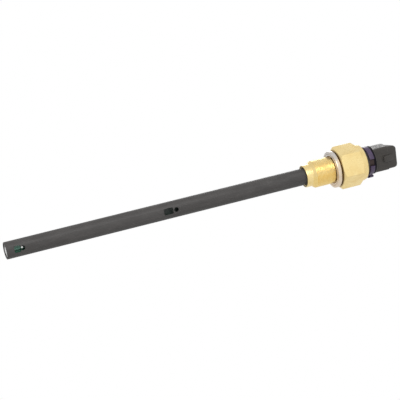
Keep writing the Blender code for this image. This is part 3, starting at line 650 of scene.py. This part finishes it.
def thread_tree():
    """Sleeve whose rows follow the helix, so that crest and root run true along it. The half widths
    of crest and root are shares of the pitch."""
    half_root = 0.0625
    tree = Tree("screw_thread", pitch="Float", crest_radius="Float", depth="Float", half_crest="Float",
                low_end="Float", high_end="Float", low_slope="Float", high_slope="Float",
                rows="Int", columns="Int", material="Material")
    size, plus, minus, times = tree.inputs, tree.plus, tree.minus, tree.times
    grid = tree.add("GeometryNodeMeshGrid", {
        "Size X": 1.0, "Size Y": 1.0, "Vertices X": size["Rows"], "Vertices Y": size["Columns"]})
    split = tree.add("ShaderNodeSeparateXYZ", {0: tree.add("GeometryNodeInputPosition").outputs[0]})
    along = times(plus(split.outputs[0], 0.5), minus(size["Rows"], 1.0))
    around = plus(split.outputs[1], 0.5)
    turns = tree.math("DIVIDE", along, float(THREAD_ROWS))
    rise = times(plus(minus(turns, 1.0), around), size["Pitch"])
    height = tree.math("MAXIMUM", plus(size["Low end"], rise), size["Low end"])
    height = tree.least(height, size["High end"])
    phase = tree.math("ABSOLUTE", minus(tree.math("FRACT", turns), 0.5))
    flank = tree.add("ShaderNodeMapRange", {
        "Value": phase, "From Min": size["Half crest"], "From Max": 0.5 - half_root,
        "To Min": 0.0, "To Max": 1.0}).outputs["Result"]
    threaded = minus(size["Crest radius"], times(flank, size["Depth"]))
    root = minus(size["Crest radius"], size["Depth"])
    low_cone = plus(root, times(minus(height, size["Low end"]), size["Low slope"]))
    high_cone = plus(root, times(minus(size["High end"], height), size["High slope"]))
    radius = tree.least(threaded, tree.least(low_cone, high_cone))
    turn = times(around, math.tau)
    place = tree.add("ShaderNodeCombineXYZ", {
        0: times(radius, tree.math("COSINE", turn)), 1: times(radius, tree.math("SINE", turn)), 2: height})
    moved = tree.add("GeometryNodeSetPosition", {
        "Geometry": grid.outputs["Mesh"], "Position": place.outputs[0]})
    merged = tree.add("GeometryNodeMergeByDistance", {"Geometry": moved.outputs[0], "Distance": MM / 1000})
    tree.end(merged.outputs[0])
    return tree


def wire_tree():
    """Round wire along the object's own curve."""
    tree = Tree("round_wire", path="Geometry", diameter="Float", sides="Int", material="Material")
    size = tree.inputs
    ring = tree.add("GeometryNodeCurvePrimitiveCircle", {
        "Resolution": size["Sides"], "Radius": tree.math("DIVIDE", size["Diameter"], 2.0)})
    swept = tree.add("GeometryNodeCurveToMesh", {
        "Curve": size["Path"], "Profile Curve": ring.outputs[0], "Fill Caps": True})
    tree.end(swept.outputs[0])
    return tree


# operators

class BuildBrassBody(bpy.types.Operator):
    """Turned and milled brass body with its thread and crimped collar"""
    bl_idname = "sensor.brass_body"
    bl_label = "Brass body"

    def execute(self, context):
        sizes = context.scene.sensor_sizes
        root = CREST_R - sizes.thread_depth
        low_slope = (CREST_R - NOSE_R) / THREAD_LEAD
        low_end = nose_end + THREAD_START - (CREST_R - root) / low_slope
        high_end = THREAD_END + (CREST_R - root)
        body = joined(self.blank(sizes, root, low_end), self.thread(sizes, low_slope, low_end, high_end))
        finished("turned_brass_body", body, "machined_brass", "brass", "brass_body", merge=False)
        return {"FINISHED"}

    def hexagon_radius(self, around, rounding):
        """Hexagon with its upright edges rounded; the angle is counted from a corner."""
        twelfth = math.tau / 12
        off = (around + twelfth) % (2 * twelfth) - twelfth
        far = (HALF_FLATS - rounding) / math.cos(twelfth)
        reach = math.atan2(rounding * math.sin(twelfth), far + rounding * math.cos(twelfth))
        if abs(off) <= reach + 1e-6:
            return far * math.cos(off) + math.sqrt(max(0.0, rounding ** 2 - (far * math.sin(off)) ** 2))
        return HALF_FLATS / math.cos(twelfth - abs(off))

    def outline(self, around, sizes, root, low_end):
        """Section from the collar's lip out and down to the nose, and back up the bore."""
        hexagon = self.hexagon_radius(around, sizes.hex_edge)
        drop = (hexagon - BEARING_R) * math.tan(math.radians(30))
        core = 8.85 * MM
        edge = sizes.edge
        return filleted(
            profile((10.2, 0, 21.0, 0.35), (13.0, 0, 21.0, 0.95))
            + [(13.88 * MM, 17.08 * MM, edge), (hexagon, HEX_TOP - drop, edge), (hexagon, drop, edge),
               (BEARING_R, 0.0, edge), (core, 0.0, 0.3 * MM), (core, low_end + 0.1 * MM, 0.0),
               (root, low_end, 0.0)]
            + profile((8.2, nose_end, 4.9, 0.4), (8.2, nose_end, 0, 0.5), (7.05, nose_end, 0, 0.1),
                      (6.45, nose_end, 0.6, 0.1), (6.45, 0, 1.5, 0), (8.45, 0, 1.5, 0), (8.45, 0, 8.8, 0),
                      (11.0, 0, 8.8, 0), (11.0, 0, 20.0, 0), (10.2, 0, 20.0, 0)))

    def blank(self, sizes, root, low_end):
        """Everything but the thread, with more columns at the hexagon's corners."""
        corner_turn = math.radians(51.7)
        beside_corner = [math.radians(a) for a in (-0.53, -0.27, 0.27, 0.53)]
        even = [math.tau * i / BODY_COLUMNS for i in range(BODY_COLUMNS)]
        angles = sorted(even + [math.tau * k / 6 + a for k in range(6) for a in beside_corner])
        columns = [self.outline(a, sizes, root, low_end) for a in angles]
        rings = []
        for i in range(len(columns[0])):
            ring = []
            for a, column in zip(angles, columns):
                r, z = column[i]
                ring.append((r * math.cos(a + corner_turn), r * math.sin(a + corner_turn), z))
            rings.append(ring)
        return skinned(rings, closed=True)

    def thread(self, sizes, low_slope, low_end, high_end):
        """Closed sleeve with the thread on its outside and its inside sunk in the blank."""
        inner_r = 8.5 * MM
        turns = math.ceil((high_end - low_end) / sizes.thread_pitch + 1)
        sleeve = thread_tree().shape(bpy.data.meshes.new("run"), {
            "Pitch": sizes.thread_pitch, "Depth": sizes.thread_depth, "Crest radius": CREST_R,
            "Half crest": 0.25, "Low end": low_end, "High end": high_end, "Low slope": low_slope,
            "High slope": 1.0, "Rows": THREAD_ROWS * turns + 1, "Columns": BODY_COLUMNS + 1,
            "Material": finishes()["machined_brass"]})
        bmesh.ops.remove_doubles(sleeve, verts=sleeve.verts, dist=0.002 * MM)
        middle = (low_end + high_end) / 2
        half_column = math.pi / BODY_COLUMNS
        loops = []
        # the count round each rim starts half a column before +X, clear of any point
        for side in (-1, 1):
            rim = [v for v in sleeve.verts if v.is_boundary and (v.co.z - middle) * side > 0]
            rim.sort(key=lambda v: (math.atan2(v.co.y, v.co.x) + half_column) % math.tau)
            sunk = []
            for vert in rim:
                shrink = inner_r / math.hypot(vert.co.x, vert.co.y)
                sunk.append(sleeve.verts.new((vert.co.x * shrink, vert.co.y * shrink, vert.co.z)))
            loops += [rim, sunk][::-side]
        for first, second in zip(loops, loops[1:]):
            for i in range(len(first)):
                sleeve.faces.new((first[i - 1], first[i], second[i], second[i - 1]))
        return sleeve


class BuildCrushRing(bpy.types.Operator):
    """Folded sealing ring that hangs loose on the shank"""
    bl_idname = "sensor.crush_ring"
    bl_label = "Crush ring"

    def execute(self, context):
        height = context.scene.sensor_sizes.wave
        highest = 1.5 * height
        low, top = ring_low + highest, ring_top - highest

        def wave(around):
            return height * (math.sin(3 * around + 0.6) + 0.5 * math.sin(5 * around))

        section = profile(
            (10.3, top, 0, 0.2), (10.3, low, 0, 0.2), (11.35, low, 0, 0.25), (11.67, low, 0.55, 0.1),
            (11.79, low, 0.55, 0.1), (12.05, low, 0, 0.25), (12.62, low, 0, 0.1), (12.70, low, 0.10, 0.05),
            (12.78, low, 0.02, 0.1), (13.7, low, 0.1, 0.95), (13.7, top, 0, 1.1), (12.1, top, 0, 0.2),
            (11.73, top, -0.5, 0.1), (11.4, top, 0, 0.2))
        ring = revolved(section, 192, segments=5, wave=wave)
        finished("folded_crush_ring", ring, "crush_steel", "plated_steel", "sealing_ring")
        return {"FINISHED"}


class BuildProbeTube(bpy.types.Operator):
    """Dark flanged tube with its oil windows and vent holes"""
    bl_idname = "sensor.probe_tube"
    bl_label = "Probe tube"

    def execute(self, context):
        flange_r, flange_low = 8.05 * MM, tube_top - 1.6 * MM
        tube = revolved([
            (TUBE_R, -30.0 * MM, 0.0), (TUBE_R, tube_tip, 0.45 * MM), (BORE_R, tube_tip, 0.35 * MM),
            (BORE_R, tube_top, 0.0), (flange_r, tube_top, 0.2 * MM), (flange_r, flange_low, 0.2 * MM),
            (TUBE_R, flange_low, 0.0)], 160)
        outside, inside, vent_r = -7 * MM, -1.6 * MM, 1.7
        windows = ((5.5, 4.6, 4.7, -0.3), (115.3, 6.9, 4.6, 0.7))
        cuts = []
        for start, tall, wide, bridge in windows:
            low, high = tube_tip + start * MM, tube_tip + (start + tall) * MM
            window = slab((-wide / 2 * MM, outside, low), (wide / 2 * MM, inside, high), 0.8 * MM)
            vent = tube_tip + (start + tall + bridge + vent_r) * MM
            hole = rod(vent_r * MM, (0, outside, vent), (0, inside, vent), 48)
            cuts += [("DIFFERENCE", window), ("DIFFERENCE", hole)]
        tube = carved(tube, *cuts)

        def at_window(point):
            """Near the front of a window or its vent; the zones are in millimetres above the tip."""
            above_tip = (point.z - tube_tip) / MM
            near = any(low < above_tip < high for low, high in ((5.2, 13.5), (115.0, 126.6)))
            return near and point.y < -2.5 * MM and abs(point.x) < 2.6 * MM

        break_edges(tube, context.scene.sensor_sizes.window_edge, degrees=35.0, where=at_window)
        finished("moulded_probe_tube", tube, "filled_tube", "tube_plastic", "probe_tube", sharp=30.0)
        return {"FINISHED"}


class BuildSensingStrip(bpy.types.Operator):
    """Carrier strip with tracks, sensing wire, spring and joints, and the guide in the tube's mouth"""
    bl_idname = "sensor.sensing_strip"
    bl_label = "Sensing strip"

    def execute(self, context):
        slot_low = tube_tip + 12.9 * MM
        slot_high = slot_low + 96.5 * MM
        board = slab(board_low, board_high, 0.6 * MM)
        slot = slab((-1.8 * MM, -2 * MM, slot_low), (1.8 * MM, 2 * MM, slot_high), 1.44 * MM, segments=8)
        board = carved(board, ("DIFFERENCE", slot))
        break_edges(board, 0.05 * MM, degrees=40.0, segments=1)
        finished("printed_strip", board, "green_laminate", "laminate", "carrier_board")
        self.pads(slot_low, slot_high, context.scene.sensor_sizes.track_rise)
        self.joints()
        self.wire()
        self.spring()
        self.guide()
        return {"FINISHED"}

    def pads(self, slot_low, slot_high, rise):
        """Tinned pads below and above the slot, and the two for the leads."""
        pads = []
        for middle, half, level, low, high in (
                (0.0, 0.7, slot_low, -1.9, -0.5), (0.0, 1.3, slot_high, 0.4, 3.1),
                (-2.5, 0.8, board_high.z, -2.8, -0.8), (2.5, 0.8, board_high.z, -2.8, -0.8)):
            pads.append(slab((middle * MM - half * MM, board_low.y - rise, level + low * MM),
                             (middle * MM + half * MM, board_low.y + rise, level + high * MM), 0.3 * MM))
        finished("strip_pads", joined(*pads), "tinned_copper", "tinned_contact")

    def joints(self):
        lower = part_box("wire_joint_lower")
        finished("lower_wire_joint", self.heap(lower, board_low.y, 1.15), "bright_solder", "solder",
                 "wire_joint_lower", sharp=20.0)
        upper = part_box("wire_joint_upper")
        finished("upper_wire_joint", self.heap(upper, upper[1].y, 1.3), "bright_solder", "solder",
                 "wire_joint_upper")

    def heap(self, box, face, foot):
        """Solder heap: a dome that runs out onto its pad and leans a little."""
        low, high = box
        radius = (high.x - low.x) / 2
        height = face - low.y
        middle = (low + high) / 2
        steps, columns, rounding, lean_x, lean_z = 8, 32, 0.45, 0.07, 0.17
        rings = []
        for step in range(steps + 1):
            t = step / steps
            r = radius * (foot * (1 - t) ** 4 + (1 - rounding * t ** 5) ** 0.5 * (1 - (1 - t) ** 4))
            ring = []
            for i in range(columns):
                a = math.tau * i / columns
                x, z = r * math.cos(a), r * math.sin(a)
                ring.append((middle.x + x, face - height * t - t * (lean_x * x + lean_z * z), middle.z + z))
            rings.append(ring)
        return skinned(rings)

    def wire(self):
        """Sensing wire from the lower joint to the spring."""
        radius, steps = 0.1 * MM, 40
        start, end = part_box("hot_wire")
        first_y, last_y = end.y - radius, start.y + radius
        curve = bpy.data.curves.new("path", "CURVE")
        curve.dimensions = "3D"
        line = curve.splines.new("POLY")
        line.points.add(steps)
        for step, point in enumerate(line.points):
            t = step / steps
            point.co = (0.0, first_y * (1 - t) + last_y * t, start.z + (end.z - start.z) * t, 1.0)
        wire = wire_tree().shape(curve, {
            "Diameter": 2 * radius, "Sides": 12, "Material": finishes()["wire_alloy"]})
        finished("sensing_wire", wire, "wire_alloy", "resistance_wire", "hot_wire", sharp=60.0)

    def spring(self):
        """Leaf spring that bends forward and narrows on its way down."""
        low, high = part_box("wire_spring")
        bend_top, bend_length, bend_depth, half_leaf = high.z - 2.2 * MM, 2.6 * MM, 0.7 * MM, 0.1 * MM
        steps = 24
        rows = []
        for step in range(steps + 1):
            z = high.z + (low.z - high.z) * step / steps
            bend = min(1.0, max(0.0, (bend_top - z) / bend_length))
            y = high.y - half_leaf - bend_depth * (1 - math.cos(math.pi * bend)) / 2
            half = (1.0 - 0.25 * bend) * MM
            front, back = y - half_leaf, y + half_leaf
            rows.append([(-half, front, z), (half, front, z), (half, back, z), (-half, back, z)])
        finished("leaf_spring", skinned(rows), "spring_metal", "spring_steel", "wire_spring")

    def guide(self):
        """Cross with a dished boss in the tube's mouth, slotted for the strip's foot."""
        mouth = tube_tip + 0.3 * MM
        top = mouth + 3.4 * MM
        rib_low, rib_top = mouth + 0.3 * MM, top - 0.2 * MM
        boss = revolved(profile(
            (0, top, 0, 0), (2.6, top, 0, 0.15), (2.6, mouth, 0, 0.4), (1.1, mouth, 0, 0.15),
            (0.75, mouth, 0.35, 0.1), (0, mouth, 0.35, 0)), 64, closed=False, segments=3)
        ribs = slab((-GUIDE_R, -1.5 * MM, rib_low), (GUIDE_R, 1.5 * MM, rib_top))
        cross = slab((-0.6 * MM, -GUIDE_R, rib_low), (0.6 * MM, GUIDE_R, rib_top))
        round_form = rod(GUIDE_R, (0, 0, mouth), (0, 0, top), 64)
        foot = slab((-GUIDE_R, -0.8 * MM, mouth + 1.8 * MM), (GUIDE_R, 0.8 * MM, top + 1 * MM))
        ribs = carved(ribs, ("UNION", cross), ("INTERSECT", round_form))
        guide = carved(boss, ("UNION", ribs), ("DIFFERENCE", foot))
        break_edges(guide, 0.1 * MM, degrees=40.0, segments=1)
        finished("mouth_guide", guide, "undyed_plastic", "natural_plastic", "tip_guide")


class BuildPlugHousing(bpy.types.Operator):
    """Moulded plug housing: base, neck, undercut stop flange, shroud, latch wedge and socket"""
    bl_idname = "sensor.plug_housing"
    bl_label = "Plug housing"

    def execute(self, context):
        edge = context.scene.sensor_sizes.edge
        steps = [("INTERSECT", self.plan()), ("UNION", self.wedge()), ("UNION", self.tab(edge))]
        steps += [("UNION", self.key(side)) for side in (-1, 1)]
        steps.append(("DIFFERENCE", self.slant()))
        housing = carved(self.shell(), *steps)

        def beside_wedge(point):
            return point.z > 38.0 * MM and abs(point.x) > 2.4 * MM

        break_edges(housing, edge, degrees=40.0, where=beside_wedge)
        finished("moulded_plug_housing", turned_with_plug(housing), "housing_plastic", "black_plastic",
                 "connector_housing")
        return {"FINISHED"}

    def shell(self):
        """Round base and neck, shroud with its step, and the socket inside."""
        shroud_low = 29.0 * MM
        wide = rounded_loop(SHROUD_HALF_X, SHROUD_HALF_Y, SHROUD_CORNER)
        angles = [math.atan2(y, x) for x, y in wide]
        round_part = filleted(profile(
            (7.3, 0, 15.5, 0), (7.3, 0, 9.1, 0.2), (10.7, 0, 9.1, 0.4), (10.7, 0, 11.3, 0.15),
            (8.9, 0, 11.3, 0.1), (8.9, 0, 13.4, 0.1), (10.7, 0, 13.4, 0.15), (10.7, 0, 19.7, 0.3),
            (9.9, 0, 19.7, 0.1), (9.9, 0, 23.3, 0.25), (8.8, 0, 23.3, 0.1), (8.8, 0, 27.6, 0.15),
            (9.6, 0, 27.6, 0.15), (9.6, 0, 28.5, 0.15), (10.5, 0, 28.5, 0.15), (10.5, shroud_low, 0, 0.2),
            (10.25, shroud_low, 0, 0)), closed=False, segments=3)
        rings = [[(r * math.cos(a), r * math.sin(a), z) for a in angles] for r, z in round_part]
        insets = filleted(profile(
            (0, shroud_low, 0, 0), (0, SHROUD_STEP, 0, 0.15), (0.45, SHROUD_STEP, 0.35, 0.15),
            (0.5, 0, 45.2, 0), (0.56, 0, 45.3, 0), (0.56, housing_end, 0, 0)), closed=False, segments=3)
        for inset, z in insets:
            form = rounded_loop(SHROUD_HALF_X - inset, SHROUD_HALF_Y - inset / 2, SHROUD_CORNER)
            rings.append([(x, y, z) for x, y in form])
        for in_x, in_y, z in ((0, 0, housing_end), (0, 0, 31.8 * MM), (0.1, 0.07, 31.58 * MM),
                              (0.3, 0.25, 31.5 * MM)):
            form = rounded_loop(SOCKET_HALF_X - in_x * MM, SOCKET_HALF_Y - in_y * MM, 0.35 * MM)
            rings.append([(x, y, z) for x, y in form])
        return skinned(rings)

    def plan(self):
        """Rounds the shroud's corners seen from the front and leaves everything below it."""
        half_x, half_y, clear, corner = 8.56 * MM, 9 * MM, 13 * MM, 2.8 * MM
        low, high = (-half_x, -half_y, SHROUD_STEP - 5 * MM), (half_x, half_y, housing_end)
        upper = slab(low, high, corner, segments=12)
        whole = slab((-clear, -clear, 0), (clear, clear, SHROUD_STEP + 0.2 * MM))
        return carved(upper, ("UNION", whole))

    def wedge(self):
        """Latch wedge with its lead-in."""
        corners = ((-4.6, 36.2), (-7.1, 36.5), (-7.1, 38.9), (-5.35, 45.2), (-4.6, 45.2))
        wedge = extruded([(y * MM, z * MM) for y, z in corners], 2.3 * MM)
        break_edges(wedge, 0.22 * MM, degrees=20.0, segments=3)
        return wedge

    def tab(self, edge):
        """Side tab that the coding ring's lug hooks over."""
        low, high = (7.7 * MM, -LUG_HALF, 22.2 * MM), (12.4 * MM, LUG_HALF, 23.3 * MM)
        return slab(low, high, 0.8 * MM, along="Z", edge=edge)

    def key(self, side):
        """Rib in the socket, sunk in its wall and floor."""
        middle, half = side * 4.5 * MM, 0.5 * MM
        return slab((middle - half, SOCKET_HALF_Y - 0.8 * MM, 31.2 * MM),
                    (middle + half, SOCKET_HALF_Y + 0.4 * MM, housing_end - 1.5 * MM))

    def slant(self):
        """Cuts the mouth off from the latch side to the back."""
        front, back = -SOCKET_HALF_Y, 7 * MM
        high, above = housing_end - 2.7 * MM, housing_end + 2 * MM
        low = high - (back - front) * math.tan(math.radians(32))
        return extruded([(front, above), (front, high), (back, low), (back, above)], 12 * MM)


class BuildCodingRing(bpy.types.Operator):
    """Purple coding ring with its gap and its lug, taller at the outer edge, with an eye"""
    bl_idname = "sensor.coding_ring"
    bl_label = "Coding ring"

    def execute(self, context):
        ring = revolved(profile((9.1, code_top, 0, 0.15), (10.7, code_top, 0, 0.4), (10.7, code_low, 0, 0.4),
                                (9.1, code_low, 0, 0.15)), 160)
        outline = filleted(profile(
            (9.9, code_low, 0, 0.7), (9.9, code_top, 0, 0.7), (10.85, code_top, 0, 0),
            (10.85, code_top, 1.3, 0.7), (12.6, code_top, 1.3, 0.7), (12.6, code_low, 0, 0.7)))
        lug = skinned([[(x, y, z) for x, z in outline] for y in (-LUG_HALF, LUG_HALF)])
        eye_x, eye_z, reach = 11.5 * MM, (code_low + code_top) / 2 - 0.4 * MM, 4 * MM
        eye = rod(0.7 * MM, (eye_x, -reach, eye_z), (eye_x, reach, eye_z), 32)
        gap = slab((-3.7 * MM, -12 * MM, code_low - 1 * MM), (1.7 * MM, -4.5 * MM, code_top + 1 * MM))
        ring = carved(ring, ("UNION", lug), ("DIFFERENCE", eye), ("DIFFERENCE", gap))
        break_edges(ring, context.scene.sensor_sizes.edge * 0.7, degrees=50.0)
        finished("moulded_coding_ring", turned_with_plug(ring), "moulded_purple", "purple_plastic",
                 "coding_ring")
        return {"FINISHED"}


class BuildContacts(bpy.types.Operator):
    """Blades in the socket and the soldered ends of the leads"""
    bl_idname = "sensor.contacts"
    bl_label = "Contacts"

    def execute(self, context):
        for number in (1, 2):
            name = "terminal_blade_%d" % number
            low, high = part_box(name)
            middle = (2 * number - 3) * 2.5 * MM
            rows = [self.section(middle, 1.4, 0.4, low.z)]
            for below_top, slim, thin in ((1.0, 0, 0), (0.35, 0.10, 0.12), (0, 0.30, 0.27)):
                rows.append(self.section(middle, 1.4 - slim, 0.4 - thin, high.z - below_top * MM))
            finished("contact_blade_%d" % number, turned_with_plug(skinned(rows)), "tinned_copper",
                     "tinned_contact", name)
            dressed("tail_joint_%d" % number, "bright_solder")
            dressed("board_joint_%d" % number, "bright_solder")
            dressed("lead_%d" % number, "red_insulation")
        dressed("terminal_potting", "potting_resin")
        return {"FINISHED"}

    def section(self, middle, half_x, half_y, z):
        """Rectangle with its corners cut off; its half sizes are in millimetres."""
        x0, x1, y0, y1 = middle - half_x * MM, middle + half_x * MM, -half_y * MM, half_y * MM
        cut = 0.08 * MM
        return [(x0 + cut, y0, z), (x1 - cut, y0, z), (x1, y0 + cut, z), (x1, y1 - cut, z), (x1 - cut, y1, z),
                (x0 + cut, y1, z), (x0, y1 - cut, z), (x0, y0 + cut, z)]


class DressInnerPieces(bpy.types.Operator):
    """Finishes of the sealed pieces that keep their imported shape"""
    bl_idname = "sensor.inner_pieces"
    bl_label = "Inner pieces"

    def execute(self, context):
        for node, finish in (("tube_seal", "black_rubber"), ("housing_seal", "black_rubber"),
                             ("clamp_ring", "spring_metal"), ("board_holder", "undyed_plastic")):
            dressed(node, finish)
        return {"FINISHED"}


class BuildStage(bpy.types.Operator):
    """Floor, surroundings, lights and camera"""
    bl_idname = "sensor.stage"
    bl_label = "Stage"

    def execute(self, context):
        stage = context.scene.sensor_stage
        self.camera(context, stage)
        self.floor()
        self.surroundings(context, stage)
        self.softbox("main_light", (-0.62, -0.79, -0.22), (0, 0, -0.1), 0.55, stage.main_light)
        self.softbox("rim_light", (-0.34, 1.00, 0.34), (0, 0, 0.04), 0.40, stage.rim_light)
        return {"FINISHED"}

    def camera(self, context, stage):
        """Pose from the probe's tilt, slope and turn, with the aim in pixels of the picture."""
        aim_across, aim_down, distance, aim_along = 20.681, 2.750, 1.08, 0.091534
        focal = stage.lens / SENSOR_MM * PICTURE_PIXELS
        lean, slope, turn = stage.tilt, stage.slope, stage.turn
        along = Vector((math.cos(lean) * math.cos(slope), math.cos(lean) * math.sin(slope), -math.sin(lean)))
        near = Vector((math.sin(lean) * math.cos(slope), math.sin(lean) * math.sin(slope), math.cos(lean)))
        down = Vector((math.sin(slope), -math.cos(slope), 0.0))
        front = near * math.cos(turn) + down * math.sin(turn)
        side = down * math.cos(turn) - near * math.sin(turn)
        aim = Vector((aim_across / focal * distance, aim_down / focal * distance, -distance))
        to_camera = Matrix((side, -front, along)).transposed().to_4x4()
        to_camera.translation = aim + along * aim_along
        data = bpy.data.cameras.new("camera")
        data.lens = stage.lens
        data.sensor_width = SENSOR_MM
        data.clip_start = 0.01
        data.clip_end = 50.0
        item = placed("camera", data)
        item.matrix_world = to_camera.inverted()
        context.scene.camera = item

    def floor(self):
        """Pale floor that shows white in reflections."""
        shape = bmesh.new()
        bmesh.ops.create_grid(shape, x_segments=8, y_segments=8, size=6.0)
        bmesh.ops.translate(shape, verts=shape.verts, vec=(0, 0, -0.5))
        f = Finish("pale_floor", (0.86, 0.86, 0.86), 0.8, specular=0.2)
        cloud = f.grain(f.place, 3.0, detail=2.0)
        f.set("Base Color", f.blend(cloud, (0.85, 0.85, 0.85), (0.87, 0.87, 0.87)))
        white = f.add("ShaderNodeEmission", {"Strength": 0.85})
        mirrored = f.add("ShaderNodeLightPath").outputs["Is Glossy Ray"]
        mixed = f.add("ShaderNodeMixShader", {0: mirrored, 1: f.surface.outputs[0], 2: white.outputs[0]})
        f.feed(f.tree.nodes["Material Output"].inputs["Surface"], mixed.outputs[0])
        mesh = plain_mesh("floor", shape)
        mesh.materials.append(f.material)
        placed("floor", mesh)

    def surroundings(self, context, stage):
        """White, dimmer on matt surfaces and in reflections that face away from the viewer."""
        world = bpy.data.worlds.new("surroundings")
        context.scene.world = world
        world.use_nodes = True
        nodes = Nodes(world.node_tree)
        background = nodes.tree.nodes["Background"]
        background.inputs["Color"].default_value = (1.0, 1.0, 1.0, 1.0)
        path = nodes.add("ShaderNodeLightPath")
        outwards = nodes.add("ShaderNodeTexCoord").outputs["Generated"]
        brightest = (-0.15, -0.95, 0.28)
        ahead = nodes.add("ShaderNodeVectorMath", {0: outwards, 1: brightest}, operation="DOT_PRODUCT")
        mirrored = nodes.spread(ahead.outputs["Value"], 0.55, 0.90, stage.shine, 1.0)
        strength = stage.sky
        for ray, value in (("Is Glossy Ray", mirrored), ("Is Transmission Ray", 1.0), ("Is Camera Ray", 1.0)):
            strength = nodes.mixed(path.outputs[ray], strength, value)
        nodes.feed(background.inputs["Strength"], strength)

    def softbox(self, name, place, target, size, watts):
        data = bpy.data.lights.new(name, "AREA")
        data.shape = "SQUARE"
        data.size = size
        data.energy = watts
        item = placed(name, data)
        item.location = place
        item.rotation_euler = (Vector(target) - Vector(place)).to_track_quat("-Z", "Y").to_euler()


PIECES = (BuildBrassBody, BuildCrushRing, BuildProbeTube, BuildSensingStrip, BuildPlugHousing,
          BuildCodingRing, BuildContacts, DressInnerPieces)


class SensorPanel(bpy.types.Panel):
    """Lists the sensor's settings and builders"""
    bl_idname = "VIEW3D_PT_oil_level_sensor"
    bl_label = "Oil level sensor"
    bl_space_type = "VIEW_3D"
    bl_region_type = "UI"
    bl_category = "Oil level sensor"

    def draw(self, context):
        for group in (context.scene.sensor_sizes, context.scene.sensor_colours, context.scene.sensor_stage):
            column = self.layout.column()
            for name in group.bl_rna.properties.keys():
                if name not in ("rna_type", "name"):
                    column.prop(group, name)
        for operator in (BuildStage,) + PIECES:
            self.layout.operator(operator.bl_idname)


CLASSES = (SensorSizes, SensorColours, SensorStage, BuildStage) + PIECES + (SensorPanel,)


def register():
    for item in CLASSES:
        bpy.utils.register_class(item)
    bpy.types.Scene.sensor_sizes = bpy.props.PointerProperty(type=SensorSizes)
    bpy.types.Scene.sensor_colours = bpy.props.PointerProperty(type=SensorColours)
    bpy.types.Scene.sensor_stage = bpy.props.PointerProperty(type=SensorStage)


def unregister():
    del bpy.types.Scene.sensor_stage
    del bpy.types.Scene.sensor_colours
    del bpy.types.Scene.sensor_sizes
    for item in reversed(CLASSES):
        bpy.utils.unregister_class(item)


def main():
    register()
    bpy.context.scene.view_settings.view_transform = "Standard"
    bpy.ops.sensor.stage()
    bpy.ops.sensor.brass_body()
    bpy.ops.sensor.crush_ring()
    bpy.ops.sensor.probe_tube()
    bpy.ops.sensor.sensing_strip()
    bpy.ops.sensor.plug_housing()
    bpy.ops.sensor.coding_ring()
    bpy.ops.sensor.contacts()
    bpy.ops.sensor.inner_pieces()


if __name__ == "__main__":
    main()
